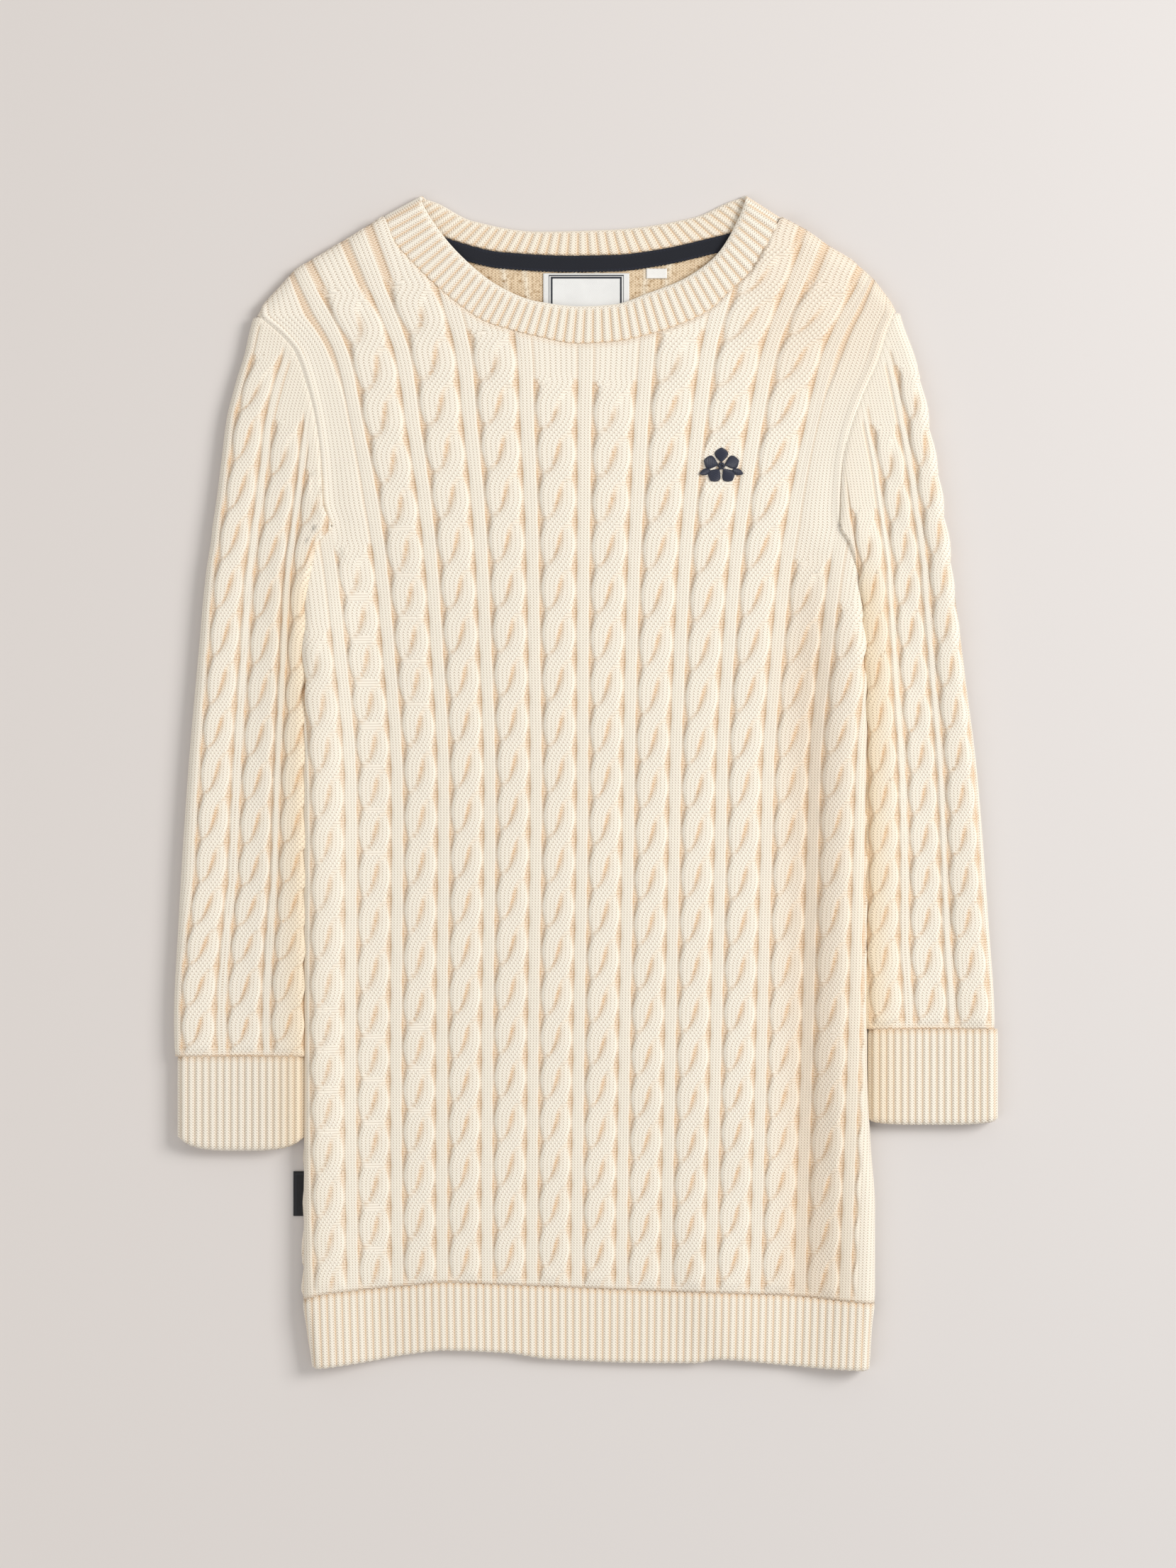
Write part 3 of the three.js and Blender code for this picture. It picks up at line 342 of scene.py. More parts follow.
COURSE = 1.85  # height of one row of stitches
FIRST_CROSSING = 26.0  # plain knitting between a seam and the highest crossing
GATHER = 7.0  # height over which cables draw in to meet a rib band
NOTCH_DEPTH = 3.0
STRAND_EDGE = 3.6  # how far from its edge a strand reaches its full height
WALE_EDGE = 1.6  # the same for plain and rib wales
CREASE_RISE = 0.485  # half the height of a crease, in repeats
CREASE_S = np.linspace(-1, 1, 31)  # one crease, from the left gutter to the right one
CREASE_U = 0.33 * CREASE_S + 0.67 * np.abs(CREASE_S) ** 6 * np.sign(CREASE_S)
CREASE_T = CREASE_RISE * CREASE_S
CREASE_DEPTH = np.interp(CREASE_S, [-1, -0.6, 0.1, 0.4, 0.7, 1], [0.75, 0.8, 1, 0.85, 0.3, 0.45])


def round_edge(distance, radius):
    return np.sqrt(np.clip(1 - (1 - np.clip(distance / radius, 0, 1)) ** 2, 0, 1))


def scallop(u, v, last):
    """How far a cable's edge draws in towards the notch at each crossing, from 0 to 1."""
    rise = np.where(u < 0, -CREASE_RISE, CREASE_RISE)
    far = np.abs(v - np.round(v - rise) - rise)
    return np.where(v > last + 0.7, 0, (1 - 2 * np.minimum(far, 0.5)) ** 1.7)


def cable_relief(u, v, half, last, notch, ladder):
    """Lift, shade and wale of a cable. u runs from -1 to 1 across it, v counts its crossings upwards,
    half is half its width in millimetres, last is the v of its highest crossing, notch is how far its
    edge draws in, and ladder is how far the purl beside its plain top is pulled open."""
    strand = np.floor(v - np.interp(u, CREASE_U, CREASE_T))
    reach = v - strand - 0.5  # from the middle of the strand, in repeats
    low = smooth(np.abs(reach), 0.2, 0.95)
    low = np.where((reach > 0) & (strand + 1 > last + 0.5), 0, low)
    inside = (1 - np.abs(u)) * half - NOTCH_DEPTH * notch * smooth(np.abs(u), 0.2, 0.9)
    uneven = 1 + 0.1 * np.sin(2.3 * strand + 1.7 * last + 0.4 * half)
    lift = (CROWN - (CROWN - TIP) * low) * uneven * round_edge(inside, STRAND_EDGE)
    shade = 0.6 * np.exp(-(np.maximum(inside, 0) / 0.6) ** 2)
    # A strand rises steeply over the one to its lower right, and slopes down under the one above it.
    # Painted shade lies along each crease, narrow on its upper left side and wide on its lower right side.
    for crease, drop, slope, thin, thick in ((strand, 0.45, 2.0, 0.6, 0.8),
                                             (strand + 1, 0.9, 5.4, 0.9, 2.2)):
        across = (u[:, None] - CREASE_U) * half[:, None]
        up = (v[:, None] - crease[:, None] - CREASE_T) * REPEAT
        squared = across ** 2 + up ** 2
        at = squared.argmin(1)
        distance, place = np.sqrt(squared[np.arange(len(u)), at]), CREASE_S[at]
        crossed = crease <= last + 0.01
        depth = np.where(crossed, CREASE_DEPTH[at], 0)
        fading = crossed & (np.abs(crease - last) < 0.6)
        depth = np.where(fading, depth * (1 - smooth(place, -0.35, 0.5)), depth)
        lift = lift * (1 - drop * depth * (1 - round_edge(distance, slope)))
        wide = thin + (thick - thin) * smooth(place, -0.9, 0) * (1 - smooth(place, 0.2, 0.8))
        shade = np.maximum(shade, depth * np.exp(-(distance / wide) ** 1.5))
    plain = smooth(v, last + 0.35, last + 0.8)
    lane = 0.5 * np.sin(np.pi / 2 * np.clip(reach / 0.42, -1, 1)) * (1 - plain)
    inside = (1 - 0.3 * ladder - np.abs(u)) * half
    lift = lift * (1 - plain) + plain * RIB * round_edge(inside, WALE_EDGE)
    shade = np.maximum(shade, 0.6 * ladder * plain * (1 - smooth(inside, -0.4, 0.5)))
    return lift, shade, 4 * (u - lane) + 2


def cables(u, v, half, last, gutter, wale, ladder=0.0):
    """Lift, shade and wale of cables and of what lies between them: a purl gutter, wider at the notches,
    and then plain or rib wales. u is 1 at a cable's edge."""
    u, v, half, last, ladder = np.broadcast_arrays(u, v, half, last, ladder)
    notch = scallop(u, v, last)
    beside = (np.abs(u) - 1) * half
    gutter = gutter + 0.5 * notch
    lift = GUTTER + (RIB - GUTTER) * round_edge(beside - gutter + 0.5, WALE_EDGE)
    shade = (0.4 + 0.6 * notch) * (1 - smooth(beside, gutter - 0.6, gutter + 0.6))
    wale = np.broadcast_to(wale, u.shape).copy()
    inside = np.abs(u) < 1
    facts = (fact[inside] for fact in (u, v, half, last, notch, ladder))
    lift[inside], shade[inside], wale[inside] = cable_relief(*facts)
    return lift, shade, wale


def rib_wale(c):
    """The wale in the rib between two cables, of which the middle is a whole column."""
    return (c - np.round(c)) / (2 * RIB_HALF) * 4


def crossings(cable, y):
    """The v of a height on one of the front's cables."""
    shift = np.interp(y, CROSSING_SHIFT[:, 0], CROSSING_SHIFT[:, cable + 1])
    return (y - shift - FIRST_PLACE) / REPEAT


def gathered(lift, shade, above, dark):
    """Cables that draw in to meet a rib band, by their height above its seam, with a line of painted shade
    of strength dark along the seam.
    """
    gather = 1 - smooth(above, 1.0, GATHER)
    seam = np.exp(-((above - 0.4) / 1.3) ** 2)
    return lift * (1 - gather) + 0.75 * gather, shade * (1 - 0.6 * gather) + dark * seam


def front_relief(c, y):
    """Lift, shade and wale up one column of the front, with its cables set as they are on the real one."""
    cell, far, pitch = math.floor(c), abs(c), pitch_of(y)
    cable = min(max(cell + 6, 0), 11)
    x = body_point(c, y, 0.0)[..., 0]
    ladder = smooth(np.abs(x), 84, 116) * smooth(y, 255, 300)
    lift, shade, wale = cables((c - cell - 0.5) / CABLE_HALF, crossings(cable, y), CABLE_HALF * pitch,
                               LAST_CROSSING[cable], GUTTER_WIDTH * pitch, rib_wale(c), ladder)
    # plain borders along the armholes, and over the side folds where the outer cables start
    border = np.maximum(smooth(far, 4.66, 4.8) * smooth(y - 45 * (far - 4.66), 144, 154),
                        smooth(far, 5.6, 5.8) * smooth(y - 40 * (far - 5.6), 104, 116))
    border = np.maximum(border, smooth(c, PLAIN_FROM - 0.01, PLAIN_FROM + 0.05))
    lift = lift * (1 - border) + RIB * border
    shade = shade * (1 - border)
    if c > PLAIN_FROM:
        wale = (c - PLAIN_FROM) * pitch / 2.5
    # the rolled edge along the armhole
    room = by_side(c, lambda side: half_width(side, y)) - np.abs(x - middle_of(y))
    roll = np.exp(-((room - 3.4) / 2.4) ** 2) * smooth(y, ARMPIT - 12, ARMPIT + 12) * (y < 330)
    lift = lift + 0.9 * roll - 0.7 * np.exp(-(room / 0.9) ** 2) * smooth(y, ARMPIT - 4, ARMPIT + 4)
    lift, shade = gathered(lift, shade, y - along(HEM, 1, x), 0.55)
    # the edge that runs under the neckband, with a line of painted shade just below the top seam, and the
    # pressed cloth under the motif
    below = top_seam(x) - y
    under_band = (1 - smooth(below, 0.2, 2.6)) * (x > NECK_SEAM[0, 0]) * (x < NECK_SEAM[-1, 0])
    lift = lift * (1 - under_band) - 0.9 * under_band
    shade = np.maximum(shade * (1 - under_band), 0.4 * np.exp(-((below - 1.5) / 1.5) ** 2))
    near = 1 - smooth(np.hypot(x - MOTIF_X, y - MOTIF_Y), 16, 23)
    lift = np.minimum(lift, 4 - 2.5 * near)
    # warm shade that stays in the trough beside the right fold, and on the slope of the right shoulder
    trough = 0.3 * np.exp(-((x - 153) / 22) ** 2) * (1 - smooth(y, 60, 190))
    trough = trough + 0.2 * smooth(x, 85, 140) * smooth(y, 230, 320)
    # the painted shade is lighter on the left of the front, below y 150
    shade = shade * (1 - 0.2 * smooth(-x, 140, 172) * (y < 150))
    return lift, 1 - (1 - shade) * (1 - trough), wale


def last_crossing(cable):
    """The v of a cable's highest crossing: below the neck or shoulder, or lower at the sides."""
    c = cable - 5.5
    limit = 100.0 if abs(c) > 5 else 150.0 if abs(c) > 4 else body_column_top(c) - FIRST_CROSSING
    return np.floor(crossings(cable, limit))


MOTIF_X, MOTIF_Y = 92.2, 217.4
PLAIN_FROM = 6.2  # the column beyond which the right side fold is plain
LAST_CROSSING = [last_crossing(i) for i in range(12)]


class Cloth:
    """A closed wall of cloth, with the wale, course, painted shade and painted warm shade of each point. On
    woven pieces the shade channel holds their border and stitch lines instead. A column of its points has
    their numbers (index), their heights (keys), its place (around), whether it lies beyond the armhole, and
    at the armhole the number of the point where it splits."""

    def __init__(self):
        self.points, self.knit, self.tones, self.faces, self.side = [], [], [], [], []
        self.count = 0

    def add(self, points, wale=0.0, course=0.0, shade=0.0, warm_shade=0.0):
        n = len(points)
        self.points.append(points)
        self.knit.append(np.stack(np.broadcast_arrays(wale, course, np.zeros(n)), -1)[:, :2])
        self.tones.append(np.stack(np.broadcast_arrays(shade, warm_shade, np.zeros(n), np.ones(n)), -1))
        self.count += n
        return np.arange(self.count - n, self.count)

    def join(self, a, a_keys, b, b_keys, side=0):
        """Triangles between two lines of points, in the order of their keys."""
        i = j = 0
        last_a, last_b = len(a) - 1, len(b) - 1
        while i < last_a or j < last_b:
            if j == last_b or (i < last_a and a_keys[i + 1] <= b_keys[j + 1]):
                self.faces.append((a[i], b[j], a[i + 1]))
                i += 1
            else:
                self.faces.append((a[i], b[j], b[j + 1]))
                j += 1
            self.side.append(side)

    def strips(self, columns, inner):
        for a, b in zip(columns, columns[1:]):
            one, other = ([a["index"], a["keys"]], [b["index"], b["keys"]])
            for mine, yours, part in ((a, b, one), (b, a, other)):
                if "split" in mine and yours["beyond"]:
                    part[0], part[1] = part[0][:mine["split"] + 1], part[1][:mine["split"] + 1]
            if inner:
                one, other = other, one
            self.join(*one, *other, int(inner))

    def rim(self, outer, inner, end):
        """Closes the wall along the ends of its columns."""
        ends = []
        for columns in (outer, inner):
            index, keys = [], []
            for column in columns:
                at, left = column["around"], column["around"] < 0
                sign = -1 if left else 1
                if "split" in column and end:
                    rows = list(column["index"][column["split"]:])
                    key = [at + sign * 10 * (1 - i / (len(rows) - 1)) for i in range(len(rows))]
                else:
                    rows = [column["index"][-1 if end else 0]]
                    key = [at + (sign * 10 if column["beyond"] and end else 0)]
                if not left:
                    rows, key = rows[::-1], key[::-1]
                index += rows
                keys += key
            ends.append((index, keys))
        if end:
            ends.reverse()
        self.join(*ends[0], *ends[1])

    def close(self, outer, inner):
        self.strips(outer, False)
        self.strips(inner, True)
        self.rim(outer, inner, False)
        self.rim(outer, inner, True)
        self.join(inner[0]["index"], inner[0]["keys"], outer[0]["index"], outer[0]["keys"])
        self.join(outer[-1]["index"], outer[-1]["keys"], inner[-1]["index"], inner[-1]["keys"])

    def grid(self, outer, inner, *facts, closed=False):
        """A wall made of rings, one for each station: first the outer rows, then the inner ones back. The
        facts are wale, course, painted shade and painted warm shade. One given as a tuple has an outer and
        an inner part."""
        rows, points = outer.shape[1], np.concatenate([outer, inner], 1)
        stations, ring = points.shape[:2]
        spread = []
        for fact in facts:
            if isinstance(fact, tuple):
                fact = np.concatenate([np.broadcast_to(part, wall.shape[:2])
                                       for part, wall in zip(fact, (outer, inner))], 1)
            spread.append(np.broadcast_to(fact, (stations, ring)).ravel())
        number = self.add(points.reshape(-1, 3), *spread).reshape(stations, ring)
        after = np.roll(number, -1, 0)
        quads = np.stack([number, np.roll(number, -1, 1), np.roll(after, -1, 1), after], -1)
        quads = quads if closed else quads[:-1]
        side = np.broadcast_to(np.arange(ring) >= rows - 1, quads.shape[:2]).astype(int)
        quads = quads.reshape(-1, 4)
        self.faces += [tuple(f) for f in quads[:, [0, 1, 2]]] + [tuple(f) for f in quads[:, [0, 2, 3]]]
        self.side += list(side.ravel()) * 2
        if not closed:
            for row, flip in ((number[0], False), (number[-1], True)):
                ends = [(row[:rows], np.linspace(0, 1, rows)),
                        (row[:rows - 1:-1], np.linspace(0, 1, ring - rows))]
                if flip:
                    ends.reverse()
                self.join(*ends[0], *ends[1])
        return self

    def make(self, name, *materials):
        points = (np.concatenate(self.points) + SHIFT) / 1000
        points[:, 2] = np.maximum(points[:, 2], 0)  # nothing passes through the surface that it lies on
        knit, tones = np.concatenate(self.knit), np.concatenate(self.tones)
        faces = np.array(self.faces)
        a, b, c = (points[faces[:, i]] for i in range(3))
        if (a * np.cross(b, c)).sum() < 0:
            faces = faces[:, ::-1]
        real = np.linalg.norm(np.cross(b - a, c - a), axis=1) > 1e-13
        faces, side = faces[real], np.array(self.side)[real]
        mesh = bpy.data.meshes.new(name)
        mesh.from_pydata(points.tolist(), [], faces.tolist())
        corners = knit[faces]
        # faces across a crease get one wale place between wales, which leaves a faint dotted painted shade
        # along the crease
        corners[np.ptp(corners[..., 0], axis=1) > 1.1, :, 0] = 0.17  # no wale is drawn across a crease
        layer = mesh.uv_layers.new(name="knit")
        layer.data.foreach_set("uv", corners.astype(np.float32).ravel())
        layer = mesh.color_attributes.new("tones", "FLOAT_COLOR", "POINT")
        layer.data.foreach_set("color", tones.astype(np.float32).ravel())
        mesh.polygons.foreach_set("use_smooth", np.ones(len(faces), bool))
        for material in materials:
            mesh.materials.append(material)
        if len(materials) > 1:
            mesh.polygons.foreach_set("material_index", side.astype(np.int32))
        mesh.update()
        piece = bpy.data.objects.new(name, mesh)
        scene.collection.objects.link(piece)
        return piece


def knitted_cotton(name, light, warm_shade, deep, hole_shade, purl=False):
    """Combed cotton yarn, knitted: matt and slightly fuzzy, in rows of small V shapes. The tones attribute
    paints shade. Its first channel mixes in the deep colour, a painted shade in gutters, creases and seams,
    tan because light passes through the yarn there. Its second channel mixes in a painted warm shade beside
    the body.
    The gaps between stitches get painted shade in the hole colour. A purl side shows short bars instead."""
    material, tree = new_material(name)
    split = node(tree, "SeparateXYZ", node(tree, "UVMap", uv_map="knit"))
    in_wale = node(tree, "Math", split.outputs["X"], operation="FRACT")
    aside = node(tree, "Math", in_wale, 0.5, operation="SUBTRACT")
    off = node(tree, "Math", aside, operation="ABSOLUTE")
    side = node(tree, "Math", off, 2.0, operation="MULTIPLY")  # 0 in the middle of a wale
    if purl:
        half = node(tree, "Math", side, operation="ROUND")
        lean = node(tree, "Math", half, 0.5, operation="MULTIPLY")
    else:
        lean = node(tree, "Math", side, 0.85, operation="MULTIPLY")
    rise = node(tree, "Math", split.outputs["Y"], lean, operation="SUBTRACT")
    turn = node(tree, "Math", rise, operation="FRACT")
    angle = node(tree, "Math", turn, math.pi, operation="MULTIPLY")
    yarn = node(tree, "Math", angle, operation="SINE")
    edge = node(tree, "Math", side, 3.0, operation="POWER")
    ridge = node(tree, "Math", 1.0, edge, operation="SUBTRACT")
    crown = node(tree, "Math", ridge, 0.3, operation="MULTIPLY")
    height = node(tree, "Math", yarn, 0.7, crown, operation="MULTIPLY_ADD")
    between = node(tree, "Math", 1.0, yarn, operation="SUBTRACT")
    spread = node(tree, "Math", between, 1.3, operation="POWER")
    gap = node(tree, "Math", edge, spread, operation="MULTIPLY")
    dark = node(tree, "Math", gap, 1.05, operation="MULTIPLY", use_clamp=True)

    place = node(tree, "TexCoord").outputs["Object"]
    fuzz = node(tree, "TexNoise", Vector=place, Scale=2600.0, Detail=3.0, Roughness=0.7)
    cloud = node(tree, "TexNoise", Vector=place, Scale=14.0, Detail=3.0)
    if purl:  # its loops lean either way, which leaves small uneven gaps
        # painted shade in small uneven gaps on the purl side
        loops = node(tree, "TexNoise", Vector=place, Scale=380.0, Detail=2.0)
        uneven = node(tree, "MapRange", Value=loops, From_Min=0.5, From_Max=0.8)
        dark = node(tree, "Math", dark, uneven, operation="MAXIMUM")
    tones = node(tree, "SeparateColor", node(tree, "VertexColor", layer_name="tones"))
    bars = node(tree, "Math", yarn, -0.6, 1.3, operation="MULTIPLY_ADD")
    shade = node(tree, "Math", tones.outputs[0], bars, operation="MULTIPLY", use_clamp=True)
    body = node(tree, "Mix", tones.outputs[1], i6=colour(light), i7=colour(warm_shade), data_type="RGBA")
    tone = node(tree, "Mix", shade, i6=body.outputs[2], i7=colour(deep), data_type="RGBA")
    # painted shade in the gaps between stitches, in the hole colour
    holes = node(tree, "Mix", dark, i6=tone.outputs[2], i7=colour(hole_shade), data_type="RGBA")
    value = node(tree, "Math", cloud, 0.06, 0.97, operation="MULTIPLY_ADD")
    clouded = node(tree, "HueSaturation", Color=holes.outputs[2], Value=value)
    stitch = node(tree, "Bump", Height=height, Strength=0.7, Distance=0.0006)
    hair = node(tree, "Bump", Height=fuzz, Strength=0.25, Distance=0.0003, Normal=stitch)
    finish_material(tree, Base_Color=clouded, Roughness=0.88, Specular_IOR_Level=0.25, Sheen_Weight=0.2,
                    Sheen_Roughness=0.6, Normal=hair)
    return material


# Of each knit's colours the first is the yarn's own; the warm, deep and hole colours are painted shade. The
# purl side's own colour is set a little darker, a painted shade for the inside.
cable_knit = knitted_cotton("cotton_cable_knit", "#f7efe0", "#f3dcb8", "#ddb68a", "#9f7d57")
purl_side = knitted_cotton("cotton_purl_side", "#f4e8d2", "#e8d0aa", "#dcbe96", "#9a7648", purl=True)


OVER_SLEEVE = 0.9  # how far the front's edge covers the sleeve's


def levels(start, end, step):
    return np.linspace(start, end, max(1, math.ceil((end - start) / step)) + 1)


def front_columns(spots, step, cloth, lined):
    """Columns up the outside of the front, or up its lining."""
    made = []
    for c in spots:
        side = "left" if c < 0 else "right"
        past = abs(c) - ARMHOLE_COLUMN[side]
        start, end = hem_seam(c), body_column_top(c) - SEAM / 2
        y = levels(start, min(end, ARMPIT), step)
        facts, at_armhole = {"around": c, "beyond": past > 1e-6}, abs(past) < 1e-6
        if at_armhole:
            facts["split"] = len(y) - 1
        if end > ARMPIT:
            y = np.concatenate([y, levels(ARMPIT, end, step)[1:]])
        if lined:
            # the lining gets an even painted shade
            index = cloth.add(body_point(c, y, -WALL), c * 13.0, y / COURSE, 0.3)
        else:
            lift, shade, wale = front_relief(c, y)
            # painted warm shade along the side folds, below the armpits
            warm_shade = 0.12 * np.exp(-((abs(c) - 6.0) / 0.35) ** 2) * (y < ARMPIT)
            points = body_point(c, y, lift)
            if at_armhole:
                points[facts["split"] + 1:, 0] += np.sign(c) * OVER_SLEEVE
            index = cloth.add(points, wale, y / COURSE, shade, warm_shade)
        made.append({"index": list(index), "keys": list(y), **facts})
    return made


# Where the columns stand in each pitch: closest at the gutters, where the relief is steepest
FINE = np.array([0, 0.06, 0.105, 0.135, 0.165, 0.185, 0.21, 0.245, 0.28, 0.32, 0.36, 0.4, 0.44, 0.48])
FINE = np.concatenate([FINE, 1 - FINE[:0:-1]])
edges = [-ARMHOLE_COLUMN["left"], ARMHOLE_COLUMN["right"]]
spots = (np.arange(-7, 7)[:, None] + FINE).ravel()
spots = [c for c in spots if EDGES["left"] < c < EDGES["right"]
         and min(abs(c - edge) for edge in edges) > 0.012]
spots = sorted([*(set(np.round(spots, 6)) | set(EDGES.values())), *edges])
lining_spots = sorted([*(np.arange(-25, 28) * 0.25), *EDGES.values(), *edges])

front_cloth = Cloth()
front_cloth.close(front_columns(spots, 2.7, front_cloth, False),
                  front_columns(lining_spots, 12.0, front_cloth, True))
front = front_cloth.make("front_panel", cable_knit, purl_side)
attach(front, "root")
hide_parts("front")


# Hem band, front
# A band of rib knitting in the same cotton, linked to the lower edge of the front. It has six ribs
# to each cable column, drawn in a little, so the cables gather above it.

HEM_RIBS = 6
HEM_RELIEF = 1.25
FREE_EDGE = 2.2  # over this distance a free edge of rib rounds off
SEAM_LINE = 1.2  # how far the line of a seam shows beside it


def rib_relief(at, height):
    """Lift, shade and wale of ribs. at counts the ribs, and each has its middle on a whole number."""
    off = np.abs(at - np.round(at))
    lift = height * np.sqrt(np.clip(1 - (2 * off) ** 2, 0, 1))
    return lift, 0.8 * smooth(off, 0.29, 0.48), 2 * at + 0.5


# its warm, deep and hole colours are painted shade too
rib_knit = knitted_cotton("cotton_rib_knit", "#f7efe0", "#f3dcb8", "#e0bb8f", "#9f7d57")
c = np.arange(EDGES["left"], EDGES["right"], 1 / (7 * HEM_RIBS))[:, None]
lift, shade, wale = rib_relief(c * HEM_RIBS, HEM_RELIEF)
low = along(HEM, 2, body_point(c, -400.0, 0.0)[..., 0]) + 0.7 * shade
rows = np.linspace(0, 1, 16) ** 1.25
y = low + (hem_seam(c) - low) * rows
roll = 1 - round_edge(y - low, FREE_EDGE)
seam = np.exp(-((hem_seam(c) - y) / SEAM_LINE) ** 2)
outside = body_point(c, y, lift * (1 - roll) - 1.2 * roll - 0.3 * seam)
inside = body_point(c, y, 1.2 * roll - WALL)[:, ::-1]
# painted shade between the ribs and along the seam, and an even painted shade on the inside
front_hem = Cloth().grid(outside, inside, wale, (y / COURSE, y[:, ::-1] / COURSE),
                         (shade * (1 - roll) + 0.4 * seam, 0.4)).make("front_hem_band", rib_knit, rib_knit)
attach(front_hem, "root")
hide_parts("front_hem")


# Back and its hem band
# The back panel is knitted like the front and lies face down on the surface, so its cables are pressed
# flat. Its purl side shows inside the neck. The hem band below it is the same rib as in front.

BACK_SEAM_LINE = np.array([  # x, y
    (-137.3, 391.5), (-118, 385), (-88.5, 373.4), (-59.3, 366.6), (-12, 364.1), (18.8, 364.6),
    (50, 368.5), (89, 377.3), (114, 384), (132.4, 389.5)])
PRESSED = 0.28  # how much of the relief is left on the side that the dress lies on


def back_edge(side, y):
    inward = np.maximum(fold_radius(y) - 1.8, SEAM / 2)
    edge = body_edge(side, y)
    return edge - np.sign(edge) * inward


def back_x(s, y):
    edge = np.where(s < 0, back_edge("left", y), back_edge("right", y))
    return middle_of(y) + np.abs(s) * (edge - middle_of(y))


def back_top(s):
    y = np.arange(150, 396, 0.25)
    x = back_x(s, y)
    neck = (x > BACK_SEAM_LINE[0, 0]) & (x < BACK_SEAM_LINE[-1, 0])
    seam = np.where(neck, along(BACK_SEAM_LINE, 1, x) - 2 * SEAM, top_seam(x))
    return y[np.argmax(y >= seam)]


def pressed_relief(x, y):
    pitch = pitch_of(y)
    c = (x - middle_of(y)) / pitch
    cell = np.floor(c)
    return cables((c - cell - 0.5) / CABLE_HALF, (y + 11 * np.sin(cell)) / REPEAT, CABLE_HALF * pitch, 99.0,
                  GUTTER_WIDTH * pitch, rib_wale(c))


s = np.linspace(-1, 1, 285)[:, None]
tops = np.array([back_top(v) for v in s[:, 0]])[:, None]
foot = along(HEM, 1, back_x(s, -354.0)) + SEAM / 2
y = foot + (tops - foot) * np.linspace(0, 1, 225)
x = back_x(s, y)
lift, shade, wale = pressed_relief(x, y)
low_side = np.stack([x, y, np.clip(PRESSED * (CROWN - lift), 0, 1)], -1)
deep = np.concatenate([np.linspace(0, 60, 22), np.linspace(90, 700, 9)])
y_in = np.maximum(tops - deep, foot)
y_in[:, -1:] = foot
x_in = back_x(s, y_in)
in_c = (x_in - middle_of(y_in)) / pitch_of(y_in)
# the purl side inside gets an even painted shade, left off along its raised gutter lines
in_gutter = np.exp(-((np.abs(in_c - np.round(in_c)) - 0.15) / 0.035) ** 2)
high_side = np.stack([x_in, y_in, BACK_TOP - 0.1 + 0.3 * in_gutter], -1)
back = Cloth().grid(low_side, high_side, (wale, x_in / 2.54), (y / COURSE, y_in / COURSE),
                    (shade, 0.75 * (1 - in_gutter))).make("back_panel", cable_knit, purl_side)
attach(back, "root")
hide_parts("back")

s = np.linspace(-1, 1, 12 * HEM_RIBS * 6 + 1)[:, None]
lift, shade, wale = rib_relief(s * 6 * HEM_RIBS, 1.0)
low = along(HEM, 2, back_x(s, -400.0)) + 0.5 * shade
high = along(HEM, 1, back_x(s, -354.0)) - SEAM / 2
y = low + (high - low) * np.linspace(0, 1, 12)
roll = 1 - round_edge(y - low, 2.0)
low_side = np.stack([back_x(s, y), y, PRESSED * (1.0 - lift) + 0.7 * roll], -1)
high_side = np.stack([back_x(s, y), y, BACK_TOP - 0.7 * roll], -1)[:, ::-1]
back_hem = Cloth().grid(low_side, high_side, wale, (y / COURSE, y[:, ::-1] / COURSE),
                        shade).make("back_hem_band", rib_knit, rib_knit)
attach(back_hem, "root")
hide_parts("back_hem")


# Sleeves
# Each sleeve is one tube of the same cable knit, with three cables on its upper side and a plain border
# of six wales along the armhole, where it is linked to the body. It lies flat, with a fold at each edge.

SLEEVE_ROLL = 5.8
SLEEVE_TOP = 11.6
SLEEVE_SAG = 2.6
SLEEVE_STRAIGHT = 55.0  # the cloth this near the outer fold keeps its width where the sleeve widens
OPEN_WIDTH = 400.0  # a width that no sleeve reaches
CUFFS = {"left": {"outer": -281.0, "inner": -195.0, "top": -188.6, "low": -253.4, "corner": 8.0},
         "right": {"outer": 281.6, "inner": 194.0, "top": -169.8, "low": -235.6, "corner": 2.4}}
SLEEVE_CABLES = {  # y, then how far the middle of each cable lies from the outer fold
    "left": np.array([(-141, 16.2, 47.5, 77.8), (-98, 18, 47.9, 77.8), (-67, 20, 49.6, 77.6),
                      (158, 15.4, 42.2, 68)]),
    "right": np.array([(-116, 14.3, 43.3, 73.4), (-66, 14.3, 40.8, 69), (148, 6.4, 31, 54.8)])}
NOTCHES = {  # heights of the left notches of each cable, from the cuff up
    "left": [[-182, -154.4, -125.6, -98.8, -69.5, -40, -8.8, 22.7, 52.7, 85.6, 118.5, 152, 186, 220, 255],
             [-182, -155.6, -125, -99.6, -72, -44, -13, 17, 48.5, 80, 112, 144, 177, 210],
             [-179, -152, -123, -97, -70, -42.6, -12.5, 17.6, 47, 75, 110, 143, 176]],
    "right": [[-166, -137, -107.6, -80, -51, -23, 6, 35, 65, 95, 125, 156, 187, 216, 248],
              [-163, -135.7, -107.6, -80, -51.8, -23, 5.6, 33.4, 62.7, 91.5, 121, 149, 178, 207],
              [-161, -134, -105, -78, -49.8, -22.6, 5, 33, 62, 92, 120, 149]]}


def tube_length(tube):
    """Length of the cloth over one side of a flattened tube, from fold to fold."""
    rolls = tube["outer_roll"] + tube["inner_roll"]
    return np.abs(tube["outer"] - tube["inner"]) + rolls * (np.pi / 2 - 1)


